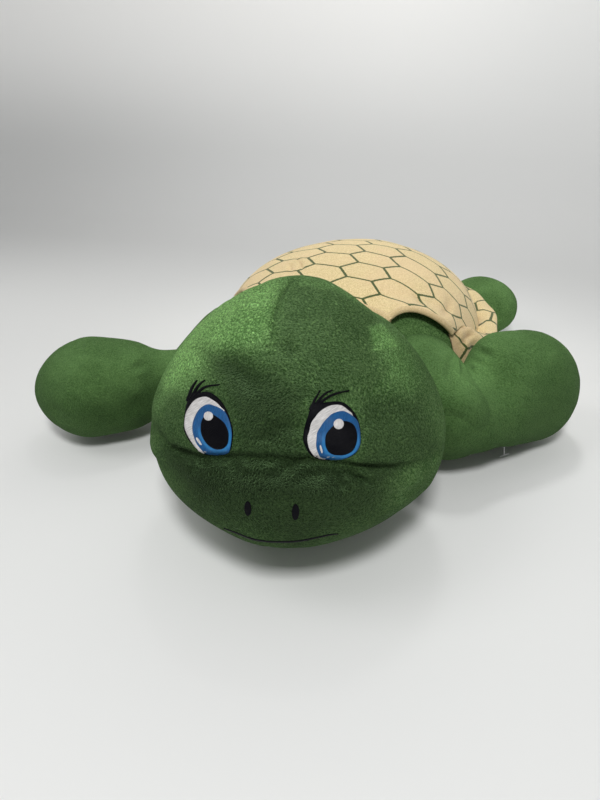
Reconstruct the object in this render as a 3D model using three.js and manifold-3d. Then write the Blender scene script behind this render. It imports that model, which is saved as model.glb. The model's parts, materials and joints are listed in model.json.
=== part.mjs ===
// A stuffed plush tortoise lying on its belly: a green velour toy about half a metre long with a printed
// shell cover, embroidered eyes, and a head, flippers, legs and a tail that move where they are sewn on.
// Millimetres. +Z up, the head looks along -Y, the origin is the middle of the flat belly.
// Left and right are the toy's own: its left side is +X.
import * as THREE from "three";
import { mergeVertices } from "three/addons/utils/BufferGeometryUtils.js";
import Module from "manifold-3d";

const wasm = await Module();
wasm.setup();

// Cloth, thread and clearances
const plush = 2.4; // short-pile velour with its knitted backing
const coverCloth = 2.4; // printed shell cloth with its lining
const threadHeight = 1.2; // how far the embroidery stands up
const layGap = 0.35; // between cloth, fibre or thread that lie on each other
const ballGap = 0.85; // around a limb's round root in the hole that it is sewn into
const elbowGap = 0.55; // around a flipper's round root in the upper arm
const fibreGap = 3; // between a limb's round root and the fibre behind it
const torsoFibreGap = 9; // the same in the torso, where the limbs also swing
const swingGap = 2; // around a limb where it swings
const stuffingHole = 13; // radius of the hole at a limb's root that the fibre goes in through

// Torso, a pillow with a flat belly. It lies turned a little under the head, and everything that is sewn
// to it is placed in its own frame, which is turned by this many degrees about the Z axis.
const bodyTurn = -9;
const torso = {
  halfWidth: 114, front: 120, back: 140, seamHeight: 52, domeHeight: 79, bellyDepth: 70,
  fullness: 0.86, widerBehind: 0.04,
};

// Shell cover, its brim and its hems
const coverSeam = 70; // height at which the top panel is sewn to the brim
const brim = { flare: 22, lowest: 34, widest: 59, start: -30, end: 20 };
const hemWidth = 4.5;
const hemRise = 1.8;
const armhole = { x: 96, y: -68, z: 66, radius: 51 };
const neckhole = { x: 0, y: -118, z: 72, radius: 62 }; // in the frame of the head

// Head and neck
const head = {
  x: -3, y: -198, z: 95, halfWidth: 94, front: 97, back: 80, halfHeight: 84,
  narrowerAbove: 0.28, rounderBelow: 0.15,
};
const crease = { height: 0.13, droop: 0.28, depth: 0.045, spread: 0.09 }; // the fold under the eyes
const neck = { x: -1, y: -121, z: 74, radius: 38 };

// Embroidery on the head: where it is, by the direction from the middle of the head, in degrees
const eyes = {
  right: { turn: -23.5, rise: 16, lean: 27 },
  left: { turn: 27.5, rise: 17.5, lean: 0 },
};
const eye = { halfWidth: 15.4, halfHeight: 16.2, rim: 1.6 };
const iris = { x: 2.9, y: -2.2, halfWidth: 12, halfHeight: 12.2 };
const pupil = { x: 4.2, y: -4, halfWidth: 8.4, halfHeight: 9 };
const highlight = { x: 2.6, y: 2.2, radius: 2.9 };
const glint = { x: -6.2, y: -7.8, halfWidth: 1.2, halfHeight: 3, lean: 20 };
const lashes = [
  { foot: [-11.5, 9], bend: [-9, 17], tip: [-4.6, 22] },
  { foot: [-9.5, 11], bend: [-5, 17.5], tip: [3, 21.8] },
  { foot: [-6.5, 13.2], bend: [1, 18], tip: [12, 20.6] },
];
const lashWidth = 2;
const nostril = { turn: 7.8, rise: -9, halfWidth: 2.4, halfHeight: 5 };
const mouth = { halfWidth: 33, rise: -46, curl: 5, width: 2 };
const faceTurn = 4; // the nose and the mouth sit this many degrees to the left of straight ahead

// Arms: a short stuffed upper arm and a broad flipper, posed differently left and right
const shoulder = { x: 83, y: -74, z: 58, radius: 39 };
const upperArm = { length: 44.5, tipRadius: 34.5 };
const flipper = { rootRadius: 30.4, waist: 29.5, length: 138, halfWidth: 46.5, halfThickness: 38.5 };
const armPose = {
  left: { direction: -54, dip: 13, flipperDirection: 46, flipperDip: 0, twist: 75 },
  right: { direction: -67, dip: 20, flipperDirection: -20, flipperDip: -1, twist: 14 },
};

// Rear flippers and tail
const hip = { x: 54, y: 100, z: 34, direction: 53, dip: 0 };
const rearFlipper = { rootRadius: 28, waist: 25, length: 113, halfWidth: 40, halfThickness: 30 };
const tailRoot = { y: 128, z: 34, dip: 6 };
const tail = { rootRadius: 14, waist: 12, length: 58, halfWidth: 13, halfThickness: 11 };

// How far each joint moves, in degrees
const lift = [0, 14];
const sweep = { left: [-30, 0], right: [-8, 20] };
const rearLift = [0, 12];
const wag = [-20, 20];

// The plastic fastener left in the left flipper by the shop's tag
const fastener = { bar: 9.5, barRadius: 0.6, stem: 5, stemRadius: 0.45, along: 56, round: 174 };

// Colours
const green = 0x4c8a41;
const sand = 0xe3c48f;
const fibre = 0xf4f2ec;
const white = 0xe8e6e2;
const blue = 0x1d66ad;
const black = 0x101014;
const clear = 0xf0f0f0;

const yAxis = new THREE.Vector3(0, 1, 0);
const zAxis = new THREE.Vector3(0, 0, 1);
const radians = (angle) => (angle * Math.PI) / 180;
const bump = (value, centre, spread) => Math.exp(-(((value - centre) / spread) ** 2));
const smooth = (t) => {
  const c = THREE.MathUtils.clamp(t, 0, 1);
  return c * c * (3 - 2 * c);
};

// A geometry with only its positions, and with its shared vertices merged
function merged(geometry) {
  const bare = geometry.clone();
  for (const name of Object.keys(bare.attributes)) if (name !== "position") bare.deleteAttribute(name);
  return mergeVertices(bare, 1e-3);
}

function solid(geometry) {
  const g = merged(geometry);
  return new wasm.Manifold(
    new wasm.Mesh({
      numProp: 3,
      vertProperties: new Float32Array(g.attributes.position.array),
      triVerts: new Uint32Array(g.index.array),
    }),
  );
}

function geometryOf(manifold) {
  const mesh = manifold.getMesh();
  const geometry = new THREE.BufferGeometry();
  geometry.setAttribute("position", new THREE.BufferAttribute(new Float32Array(mesh.vertProperties), 3));
  geometry.setIndex(new THREE.BufferAttribute(new Uint32Array(mesh.triVerts), 1));
  return geometry;
}

const moved = (manifold, matrix) => solid(geometryOf(manifold).applyMatrix4(matrix));
const ball = (centre, radius, around = 20, rings = 12) =>
  solid(new THREE.SphereGeometry(radius, around, rings).translate(centre.x, centre.y, centre.z));
const slab = (low, high) =>
  solid(new THREE.BoxGeometry(700, 700, high - low).translate(0, 0, (low + high) / 2));

// A round form: a sphere with its poles on the Z axis, each vertex sent to the point that `place` gives
function swollen(around, rings, place) {
  const geometry = merged(new THREE.SphereGeometry(1, around, rings).rotateX(Math.PI / 2));
  const position = geometry.getAttribute("position");
  const direction = new THREE.Vector3();
  for (let i = 0; i < position.count; i++) {
    const p = place(direction.fromBufferAttribute(position, i).normalize());
    position.setXYZ(i, p.x, p.y, p.z);
  }
  return geometry;
}

function torsoPoint(d, grow) {
  const up = Math.sign(d.z) * Math.abs(d.z) ** torso.fullness;
  const height = d.z > 0 ? torso.domeHeight : torso.bellyDepth;
  const length = d.y > 0 ? torso.back : torso.front;
  return new THREE.Vector3(
    (torso.halfWidth + grow) * d.x * (1 + torso.widerBehind * d.y),
    (length + grow) * d.y,
    Math.max(-grow, torso.seamHeight + (height + grow) * up),
  );
}
const inBody = (v) => v.applyAxisAngle(zAxis, radians(bodyTurn));
const torsoForm = (grow, around = 22, rings = 14) =>
  swollen(around, rings, (d) => inBody(torsoPoint(d, grow)));

// The torso with the padded brim standing out from it, round the sides and the back
function brimForm() {
  return swollen(30, 26, (d) => {
    const p = torsoPoint(d, layGap + coverCloth);
    const out = new THREE.Vector3(d.x, d.y, 0).normalize();
    const height =
      p.z < brim.widest
        ? smooth((p.z - brim.lowest) / (brim.widest - brim.lowest))
        : smooth((coverSeam + 6 - p.z) / (coverSeam + 6 - brim.widest));
    const along = smooth((p.y - brim.start) / (brim.end - brim.start));
    return inBody(p.addScaledVector(out, brim.flare * height * along));
  });
}

function headPoint(d, grow) {
  const narrow =
    1 - head.narrowerAbove * d.z - head.rounderBelow * Math.max(0, -d.z - 0.4) - 0.05 * d.z * d.z;
  const front = smooth((-d.y - 0.05) / 0.6);
  const foldHeight = crease.height - crease.droop * d.x * d.x;
  const fold = 1 - crease.depth * front * bump(d.z, foldHeight, crease.spread);
  const length = d.y > 0 ? head.back : head.front;
  return new THREE.Vector3(
    head.x + (head.halfWidth * narrow * fold + grow) * d.x,
    head.y + (length * narrow * fold + grow) * d.y,
    head.z + (head.halfHeight + grow) * d.z,
  );
}
const headForm = (grow, around = 24, rings = 16) => swollen(around, rings, (d) => headPoint(d, grow));

// A limb along +X from its joint: a round root, a waist, and a broad blade with a round tip.
// Without its root it starts flat at the joint.
function limbForm(size, grow, around, rooted = true) {
  const r = size.rootRadius + grow;
  const profile = [];
  for (let angle = rooted ? 180 : 90; angle > 80; angle -= 22.5)
    profile.push(new THREE.Vector2(r * Math.sin(radians(angle)), r * Math.cos(radians(angle))));
  if (!rooted) profile.unshift(new THREE.Vector2(0, 0));
  const reach = size.length - size.rootRadius;
  const at = (share, radius) => new THREE.Vector2(radius + grow, size.rootRadius + reach * share);
  const blade = new THREE.SplineCurve([
    new THREE.Vector2(r, 0),
    at(0.04, size.waist),
    at(0.22, size.waist + 0.5 * (size.halfWidth - size.waist)),
    at(0.43, size.halfWidth * 0.97),
    at(0.62, size.halfWidth),
    at(0.81, size.halfWidth * 0.78),
    at(0.94, size.halfWidth * 0.42),
    new THREE.Vector2(0, size.length + grow),
  ]).getPoints(9);
  profile.push(...blade.slice(1));
  profile[0].x = 0;
  profile[profile.length - 1].x = 0;
  const geometry = merged(new THREE.LatheGeometry(profile, around).rotateZ(-Math.PI / 2));
  const position = geometry.getAttribute("position");
  const flat = (size.halfThickness + grow) / (size.halfWidth + grow);
  for (let i = 0; i < position.count; i++) {
    const along = smooth((position.getX(i) - size.rootRadius * 0.6) / (reach * 0.5));
    position.setZ(i, position.getZ(i) * THREE.MathUtils.lerp(1, flat, along));
  }
  return geometry;
}

// An upper arm along +X: two round ends of different size and the straight taper between them.
// Without its root it starts flat at the joint.
function upperArmForm(grow, around, rooted = true) {
  const root = shoulder.radius + grow;
  const tip = upperArm.tipRadius + grow;
  const tangent = Math.asin((root - tip) / upperArm.length);
  const profile = [];
  for (let step = rooted ? 0 : 5; step <= 5; step++) {
    const angle = THREE.MathUtils.lerp(Math.PI, Math.PI / 2 - tangent, step / 5);
    profile.push(new THREE.Vector2(root * Math.sin(angle), root * Math.cos(angle)));
  }
  if (!rooted) profile.unshift(new THREE.Vector2(0, 0));
  for (let step = 0; step <= 4; step++) {
    const angle = THREE.MathUtils.lerp(Math.PI / 2 - tangent, 0, step / 4);
    profile.push(new THREE.Vector2(tip * Math.sin(angle), upperArm.length + tip * Math.cos(angle)));
  }
  profile[0].x = 0;
  profile[profile.length - 1].x = 0;
  return merged(new THREE.LatheGeometry(profile, around).rotateZ(-Math.PI / 2));
}

// The frame of a limb: at its joint, along `direction` in plan, its tip lowered by `dip`, turned by `twist`
function limbFrame(joint, sign, direction, dip, twist = 0) {
  const plan = sign > 0 ? radians(direction) : Math.PI - radians(direction);
  return new THREE.Matrix4()
    .makeTranslation(joint.x, joint.y, joint.z)
    .multiply(new THREE.Matrix4().makeRotationZ(plan))
    .multiply(new THREE.Matrix4().makeRotationY(radians(dip)))
    .multiply(new THREE.Matrix4().makeRotationX(radians(sign * twist)));
}

// Everywhere that a form goes while it turns about a joint, in steps of 15 degrees at most
function swept(manifold, joint, axis, [from, to]) {
  const steps = Math.ceil((to - from) / 15);
  let all = manifold;
  for (let step = 0; step <= steps; step++) {
    const angle = THREE.MathUtils.lerp(from, to, step / steps);
    if (!angle) continue;
    const turned = new THREE.Matrix4()
      .makeTranslation(joint.x, joint.y, joint.z)
      .multiply(new THREE.Matrix4().makeRotationAxis(axis, radians(angle)))
      .multiply(new THREE.Matrix4().makeTranslation(-joint.x, -joint.y, -joint.z));
    all = all.add(moved(manifold, turned));
  }
  return all;
}

const largest = (manifold) =>
  manifold.decompose().reduce((best, body) => (body.volume() > best.volume() ? body : best));

const model = new THREE.Group();
function add(name, manifold, colour, roughness = 0.95) {
  const mesh = new THREE.Mesh(
    geometryOf(manifold),
    new THREE.MeshStandardMaterial({ color: colour, roughness, metalness: 0 }),
  );
  mesh.name = name;
  model.add(mesh);
}

const sides = { left: 1, right: -1 };

// A plain cylinder along a limb's own X axis, from `start` to `end`
const bore = (frame, radius, start, end) =>
  solid(
    new THREE.CylinderGeometry(radius, radius, end - start, 12)
      .rotateZ(Math.PI / 2)
      .translate((start + end) / 2, 0, 0)
      .applyMatrix4(frame),
  );

// Cloth round a limb's fibre, open at the root where the fibre goes in
function sewn(name, form, frame, holeRadius, length, cuts = []) {
  let skin = form(0).subtract(form(-plush, 0.5)).subtract(bore(frame, holeRadius, -length, 0));
  let filling = form(-plush - layGap, 0.5);
  for (const [cut, wider] of cuts) {
    skin = skin.subtract(cut);
    filling = filling.subtract(wider);
  }
  add(`${name}_skin`, skin, green);
  add(`${name}_filling`, filling, fibre);
}

// A frame on a limb's surface: `along` from its joint, `round` degrees about its own axis, Z outwards
function surfaceFrame(manifold, frame, along, round) {
  const probe = new THREE.Raycaster();
  const shape = new THREE.Mesh(
    geometryOf(manifold),
    new THREE.MeshBasicMaterial({ side: THREE.DoubleSide }),
  );
  const way = new THREE.Vector3(0, Math.cos(radians(round)), Math.sin(radians(round)));
  probe.set(new THREE.Vector3(along, 0, 0).applyMatrix4(frame), way.transformDirection(frame));
  const hit = probe.intersectObject(shape)[0];
  const out = hit.face.normal;
  const right = zAxis.clone().cross(out).normalize();
  return new THREE.Matrix4().makeBasis(right, out.clone().cross(right), out).setPosition(hit.point);
}
let fastenerFrame;

// What the limbs take out of the torso and its cover: the joint, the root's radius and the swing
const roots = [];

// Arms and rear flippers
for (const [name, sign] of Object.entries(sides)) {
  const pose = armPose[name];
  const root = inBody(new THREE.Vector3(sign * shoulder.x, shoulder.y, shoulder.z));
  const armFrame = limbFrame(root, sign, pose.direction, pose.dip);
  const elbow = new THREE.Vector3(upperArm.length, 0, 0).applyMatrix4(armFrame);
  const flipperFrame = limbFrame(elbow, sign, pose.flipperDirection, pose.flipperDip, pose.twist);
  const [forward, backward] = sweep[name];
  const middle = limbFrame(elbow, sign, pose.flipperDirection + (forward + backward) / 2, 0);
  const halfSweep = radians((backward - forward) / 2);
  const blade = (grow, share = 1, rooted = true) =>
    solid(limbForm(flipper, grow, 16 * share, rooted).applyMatrix4(flipperFrame));
  const arm = (grow, share = 1, rooted = true) =>
    solid(upperArmForm(grow, 16 * share, rooted).applyMatrix4(armFrame));
  const liftAxis = yAxis.clone().multiplyScalar(-sign);

  // the mouth that the flipper's root sits in opens wide enough for its whole sweep
  const mouthAt = -upperArm.tipRadius * Math.sin(halfSweep + radians(7)) - 2;
  const mouthBore = (grow) => bore(middle, upperArm.tipRadius + 2 + grow, mouthAt - grow, 70);
  sewn(`upper_arm_${name}`, arm, armFrame, stuffingHole, 60, [
    [ball(elbow, flipper.rootRadius + elbowGap), ball(elbow, flipper.rootRadius + fibreGap, 12, 8)],
    [mouthBore(0), mouthBore(fibreGap)],
    [blade(swingGap, 1, false), blade(fibreGap, 0.75)],
  ]);
  sewn(`flipper_${name}`, blade, flipperFrame, stuffingHole, 50);
  roots.push([root, shoulder.radius, swept(arm(swingGap, 0.75, false), root, liftAxis, lift)]);

  const hipJoint = inBody(new THREE.Vector3(sign * hip.x, hip.y, hip.z));
  const legFrame = limbFrame(hipJoint, sign, hip.direction + sign * bodyTurn, hip.dip);
  const leg = (grow, share = 1, rooted = true) =>
    solid(limbForm(rearFlipper, grow, 14 * share, rooted).applyMatrix4(legFrame));
  sewn(`rear_flipper_${name}`, leg, legFrame, stuffingHole, 50);
  const legAxis = new THREE.Vector3().setFromMatrixColumn(legFrame, 0).cross(zAxis).normalize();
  const legSwing = swept(leg(swingGap, 10 / 14, false), hipJoint, legAxis, rearLift);
  roots.push([hipJoint, rearFlipper.rootRadius, legSwing]);
  if (name === "left")
    fastenerFrame = surfaceFrame(blade(0), flipperFrame, fastener.along, fastener.round);
}

// Tail
const tailJoint = inBody(new THREE.Vector3(0, tailRoot.y, tailRoot.z));
const tailFrame = limbFrame(tailJoint, 1, 90 + bodyTurn, tailRoot.dip);
const tailShape = (grow, share = 1, rooted = true) =>
  solid(limbForm(tail, grow, 10 * share, rooted).applyMatrix4(tailFrame));
sewn("tail", tailShape, tailFrame, 5, 30);
roots.push([tailJoint, tail.rootRadius, swept(tailShape(swingGap, 0.8, false), tailJoint, zAxis, wag)]);

// Neck
const neckJoint = new THREE.Vector3(neck.x, neck.y, neck.z);
const neckShape = (grow, share = 1) => ball(neckJoint, neck.radius + grow, 16 * share, 10 * share);
sewn("neck", neckShape, limbFrame(neckJoint, 1, -90, 0), stuffingHole, 80);
roots.push([neckJoint, neck.radius, neckShape(0)]);

// A piece of the torso with the limbs' roots and swings taken out of it
function withoutLimbs(manifold, gap) {
  let left = manifold;
  for (const [centre, radius, swing] of roots)
    left = left.subtract(ball(centre, radius + gap)).subtract(swing);
  return left;
}

// Torso
const torsoCloth = solid(torsoForm(0)).subtract(solid(torsoForm(-plush, 11, 7)));
add("torso_skin", withoutLimbs(torsoCloth, ballGap), green);
let torsoFibre = solid(torsoForm(-plush - layGap, 11, 7));
for (const [centre, radius] of roots)
  torsoFibre = torsoFibre.subtract(ball(centre, radius + torsoFibreGap, 12, 8));
add("torso_filling", torsoFibre, fibre);

// Head
const headShape = (grow, share = 1) => solid(headForm(grow, 24 * share, 16 * share));
const neckPocket = (gap) => ball(neckJoint, neck.radius + gap);
add("head_skin", headShape(0).subtract(headShape(-plush, 0.5)).subtract(neckPocket(ballGap)), green);
add("head_filling", headShape(-plush - layGap, 0.5).subtract(neckPocket(fibreGap)), fibre);

// Shell cover: top panel, brim and hems
const armholes = Object.values(sides).map((sign) =>
  inBody(new THREE.Vector3(sign * armhole.x, armhole.y, armhole.z)),
);
const torsoInCover = solid(torsoForm(layGap));
const coverLayer = solid(torsoForm(layGap + coverCloth)).subtract(torsoInCover);
let topPanel = coverLayer.intersect(slab(coverSeam, 300));
const aheadOfBrim = new THREE.BoxGeometry(700, 400, 300)
  .translate(0, brim.start + 14 - 200, 0)
  .rotateZ(radians(bodyTurn));
let brimBody = solid(brimForm())
  .subtract(torsoInCover)
  .intersect(slab(brim.lowest, coverSeam - layGap))
  .subtract(solid(aheadOfBrim));
for (const centre of armholes) {
  topPanel = topPanel.subtract(ball(centre, armhole.radius));
  brimBody = brimBody.subtract(ball(centre, armhole.radius));
}
topPanel = topPanel.subtract(ball(neckhole, neckhole.radius));
add("shell_top", largest(withoutLimbs(topPanel, ballGap)), sand);
add("shell_brim", withoutLimbs(brimBody, ballGap), sand);

// Hems: the cloth turned over along each armhole and along the neckhole
const hemLayer = solid(torsoForm(layGap + coverCloth + hemRise))
  .subtract(torsoInCover)
  .intersect(slab(coverSeam - 14, 300));
const band = (centre, radius) => ball(centre, radius - layGap).subtract(ball(centre, radius - hemWidth));
Object.keys(sides).forEach((name, i) => {
  const arch = hemLayer
    .intersect(band(armholes[i], armhole.radius))
    .subtract(ball(neckhole, neckhole.radius + layGap));
  add(`armhole_hem_${name}`, largest(withoutLimbs(arch, ballGap)), sand);
});
let collar = hemLayer.intersect(band(neckhole, neckhole.radius));
for (const centre of armholes) collar = collar.subtract(ball(centre, armhole.radius + layGap));
add("neck_hem", largest(withoutLimbs(collar, ballGap)), sand);

// Embroidery: each area of thread is a slab that follows the head's surface
const threadLayer = headShape(layGap + threadHeight).subtract(headShape(layGap));

// A frame on the head's surface, `turn` and `rise` degrees from straight ahead, Z outwards
function faceFrame(turn, rise) {
  const angle = radians(turn - 90);
  const height = radians(rise);
  const surface = (turnBy, riseBy) =>
    headPoint(
      new THREE.Vector3(
        Math.cos(height + riseBy) * Math.cos(angle + turnBy),
        Math.cos(height + riseBy) * Math.sin(angle + turnBy),
        Math.sin(height + riseBy),
      ),
      0,
    );
  const across = surface(0.1, 0).sub(surface(-0.1, 0));
  const out = across.cross(surface(0, 0.1).sub(surface(0, -0.1))).normalize();
  const right = zAxis.clone().cross(out).normalize();
  return new THREE.Matrix4()
    .makeBasis(right, out.clone().cross(right), out)
    .setPosition(surface(0, 0));
}
function oval({ x = 0, y = 0, radius, halfWidth = radius, halfHeight = radius, lean = 0 }, grow = 0) {
  const shape = new THREE.Shape();
  return shape.absellipse(x, y, halfWidth + grow, halfHeight + grow, 0, 2 * Math.PI, false, radians(lean));
}
const prism = (shape, frame, segments = 9) =>
  solid(
    new THREE.ExtrudeGeometry(shape, { depth: 44, bevelEnabled: false, curveSegments: segments })
      .translate(0, 0, -26)
      .applyMatrix4(frame),
  );
const thread = (name, manifold, colour) => add(name, largest(manifold.intersect(threadLayer)), colour, 0.6);

function lashShape({ foot, bend, tip }) {
  const curve = new THREE.QuadraticBezierCurve(
    new THREE.Vector2(...foot), new THREE.Vector2(...bend), new THREE.Vector2(...tip),
  );
  const left = [];
  const right = [];
  for (let i = 0; i <= 4; i++) {
    const t = i / 4;
    const p = curve.getPoint(t);
    const across = curve.getTangent(t).rotateAround(new THREE.Vector2(), Math.PI / 2);
    const half = (lashWidth / 2) * (1 - 0.65 * t);
    left.push(p.clone().addScaledVector(across, half));
    right.unshift(p.clone().addScaledVector(across, -half));
  }
  return new THREE.Shape([...right, ...left]);
}

for (const [name, place] of Object.entries(eyes)) {
  const lean = new THREE.Matrix4().makeRotationZ(radians(place.lean));
  const frame = faceFrame(place.turn, place.rise).multiply(lean);
  const cut = (part, grow = 0) => prism(oval(part, grow), frame);
  const inner = { ...eye, halfWidth: eye.halfWidth - eye.rim, halfHeight: eye.halfHeight - eye.rim };
  let outline = cut(eye).subtract(cut(inner, layGap));
  for (const lash of lashes)
    outline = outline.add(prism(lashShape(lash), frame).subtract(cut(inner, layGap)));
  thread(`eye_${name}_outline`, outline, black);
  thread(`eye_${name}_white`, cut(inner).subtract(cut(iris, layGap)), white);
  let ring = cut(inner).intersect(cut(iris));
  for (const part of [pupil, highlight, glint]) ring = ring.subtract(cut(part, layGap));
  thread(`eye_${name}_iris`, ring, blue);
  thread(`eye_${name}_pupil`, cut(inner).intersect(cut(pupil)).subtract(cut(highlight, layGap)), black);
  thread(`eye_${name}_highlight`, cut(highlight), white);
  thread(`eye_${name}_glint`, cut(inner).intersect(cut(glint)), white);
  const nose = faceFrame(faceTurn + sides[name] * nostril.turn, nostril.rise);
  thread(`nostril_${name}`, prism(oval(nostril), nose), black);
}

const smile = new THREE.QuadraticBezierCurve(
  new THREE.Vector2(-mouth.halfWidth, mouth.curl),
  new THREE.Vector2(0, -mouth.curl),
  new THREE.Vector2(mouth.halfWidth, mouth.curl),
).getPoints(12);
const lips = [
  ...smile.map((p) => new THREE.Vector2(p.x, p.y - mouth.width / 2)),
  ...smile.map((p) => new THREE.Vector2(p.x, p.y + mouth.width / 2)).reverse(),
];
thread("mouth", prism(new THREE.Shape(lips), faceFrame(faceTurn, mouth.rise)), black);

// The plastic fastener: a bar and the stub of its stem, hanging from the flipper's lower edge
const stemFrame = fastenerFrame.clone();
const stem = solid(
  new THREE.CylinderGeometry(fastener.stemRadius, fastener.stemRadius, fastener.stem, 10)
    .rotateX(Math.PI / 2)
    .translate(0, 0, layGap + fastener.stem / 2)
    .applyMatrix4(stemFrame),
);
const bar = solid(
  new THREE.CylinderGeometry(fastener.barRadius, fastener.barRadius, fastener.bar, 10)
    .translate(0, 0, layGap + fastener.stem)
    .applyMatrix4(stemFrame),
);
add("tag_fastener", stem.add(bar), clear, 0.4);

export default model;
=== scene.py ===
# A stuffed plush tortoise: green velour, a printed shell cover and an embroidered face,
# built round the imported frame. Metres; the toy's own left is +X, and it looks along -Y.
import json
import math
import bpy
import numpy as np
from mathutils import Matrix, Vector, noise
from mathutils.bvhtree import BVHTree


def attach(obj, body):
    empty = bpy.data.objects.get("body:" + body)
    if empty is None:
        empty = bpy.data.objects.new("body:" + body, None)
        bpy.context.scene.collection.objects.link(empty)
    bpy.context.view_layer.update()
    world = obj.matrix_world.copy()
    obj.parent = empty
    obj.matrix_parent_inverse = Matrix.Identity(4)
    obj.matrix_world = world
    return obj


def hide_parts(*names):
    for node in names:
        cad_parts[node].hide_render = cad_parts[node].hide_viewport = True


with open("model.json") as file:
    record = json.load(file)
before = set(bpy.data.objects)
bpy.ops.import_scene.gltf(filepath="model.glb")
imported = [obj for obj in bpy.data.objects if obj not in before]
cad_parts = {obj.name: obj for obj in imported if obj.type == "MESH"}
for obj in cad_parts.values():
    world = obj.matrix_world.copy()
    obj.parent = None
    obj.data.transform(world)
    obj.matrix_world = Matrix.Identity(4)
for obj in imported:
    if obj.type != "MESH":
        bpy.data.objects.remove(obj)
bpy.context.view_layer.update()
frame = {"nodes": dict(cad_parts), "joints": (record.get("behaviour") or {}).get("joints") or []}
joints = {joint["name"]: Vector(joint["pos_m"]) for joint in frame["joints"] if "pos_m" in joint}
mm = 0.001
print("frame loaded with", len(frame["nodes"]), "nodes")

# the camera stands where the photograph was taken from
photo = {
    "width": 600, "height": 800, "focalPixels": 680,
    "place": (0.0865, -0.5783, 0.320), "pitch": 30, "azimuth": 13, "sensor": 36, "nearest": 0.02,
}
bpy.ops.object.camera_add(
    location=photo["place"],
    rotation=(math.radians(90 - photo["pitch"]), 0, math.radians(photo["azimuth"])),
)
camera = bpy.context.object
camera.name = "camera"
camera.data.sensor_width = photo["sensor"]
camera.data.lens = photo["sensor"] * photo["focalPixels"] / photo["height"]
camera.data.clip_start = photo["nearest"]
bpy.context.scene.camera = camera
bpy.context.view_layer.update()


def pixelRay(u, v):
    across = (u - photo["width"] / 2) / photo["focalPixels"]
    up = (photo["height"] / 2 - v) / photo["focalPixels"]
    return camera.location, (camera.matrix_world.to_3x3() @ Vector((across, up, -1))).normalized()


def pixelsOf(points):
    local = (np.asarray(points) - np.array(camera.location)) @ np.array(camera.matrix_world.to_3x3())
    depth = np.maximum(-local[:, 2], 1e-6)
    return np.stack([photo["width"] / 2 + photo["focalPixels"] * local[:, 0] / depth,
                     photo["height"] / 2 - photo["focalPixels"] * local[:, 1] / depth], axis=1)


# small tools for meshes
def selectOnly(*pieces):
    bpy.ops.object.select_all(action="DESELECT")
    for piece in pieces:
        piece.select_set(True)
    bpy.context.view_layer.objects.active = pieces[0]


def joined(*pieces):
    selectOnly(*pieces)
    bpy.ops.object.join()
    return pieces[0]


def finishWith(piece, kind, **settings):
    selectOnly(piece)
    modifier = piece.modifiers.new(kind.lower(), kind)
    for key, value in settings.items():
        setattr(modifier, key, value)
    bpy.ops.object.modifier_apply(modifier=modifier.name)


def editMesh(piece, *steps):
    selectOnly(piece)
    bpy.ops.object.mode_set(mode="EDIT")
    bpy.ops.mesh.select_all(action="SELECT")
    for step in steps:
        step()
    bpy.ops.object.mode_set(mode="OBJECT")


def turnOutwards():
    bpy.ops.mesh.normals_make_consistent(inside=False)


def faceOutwards(piece):
    editMesh(piece, lambda: bpy.ops.mesh.remove_doubles(threshold=0.00001), turnOutwards)


def readVectors(rows, key):
    values = np.empty(len(rows) * 3)
    rows.foreach_get(key, values)
    return values.reshape(-1, 3)


def pointsOf(piece):
    return readVectors(piece.data.vertices, "co")


def normalsOf(piece):
    return readVectors(piece.data.vertices, "normal")


def setPoints(piece, points):
    piece.data.vertices.foreach_set("co", np.asarray(points, float).ravel())
    piece.data.update()


def paint(piece, name, values):
    kind = "FLOAT" if np.ndim(values) == 1 else "FLOAT_VECTOR"
    layer = piece.data.attributes.get(name) or piece.data.attributes.new(name, kind, "POINT")
    layer.data.foreach_set("value" if kind == "FLOAT" else "vector", np.asarray(values, float).ravel())


def ease(values):
    values = np.clip(values, 0, 1)
    return values * values * (3 - 2 * values)


def hill(values, centre, spread):
    return np.exp(-(((values - centre) / spread) ** 2))


def farFrom(points, centre):
    return np.linalg.norm(points - np.array(centre), axis=1)


def unit(rows):
    return rows / np.linalg.norm(rows, axis=-1, keepdims=True)


def lengthAlong(line):
    return np.concatenate([[0], np.cumsum(np.linalg.norm(np.diff(line, axis=0), axis=1))])


# points at the wanted lengths along a line
def spacedOut(line, length, wanted):
    return np.stack([np.interp(wanted, length, column) for column in line.T], axis=1)


def rumple(points, size, seed):
    shift = Vector((seed * 7.3, seed * 3.1, seed * 5.7))
    return np.array([noise.noise(Vector(p) / size + shift) for p in points])


def roundForm(name, place, segments=72, rings=48):
    bpy.ops.object.select_all(action="DESELECT")
    bpy.ops.mesh.primitive_uv_sphere_add(segments=segments, ring_count=rings, radius=1)
    piece = bpy.context.object
    piece.name = piece.data.name = name
    setPoints(piece, place(unit(pointsOf(piece))))
    faceOutwards(piece)
    return piece


def sheetForm(name, points, closedAcross=False):
    rows, columns = points.shape[:2]
    last = columns if closedAcross else columns - 1
    faces = [
        (r * columns + c, r * columns + (c + 1) % columns,
         (r + 1) * columns + (c + 1) % columns, (r + 1) * columns + c)
        for r in range(rows - 1) for c in range(last)
    ]
    mesh = bpy.data.meshes.new(name)
    mesh.from_pydata(points.reshape(-1, 3).tolist(), [], faces)
    piece = bpy.data.objects.new(name, mesh)
    bpy.context.scene.collection.objects.link(piece)
    return piece


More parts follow.
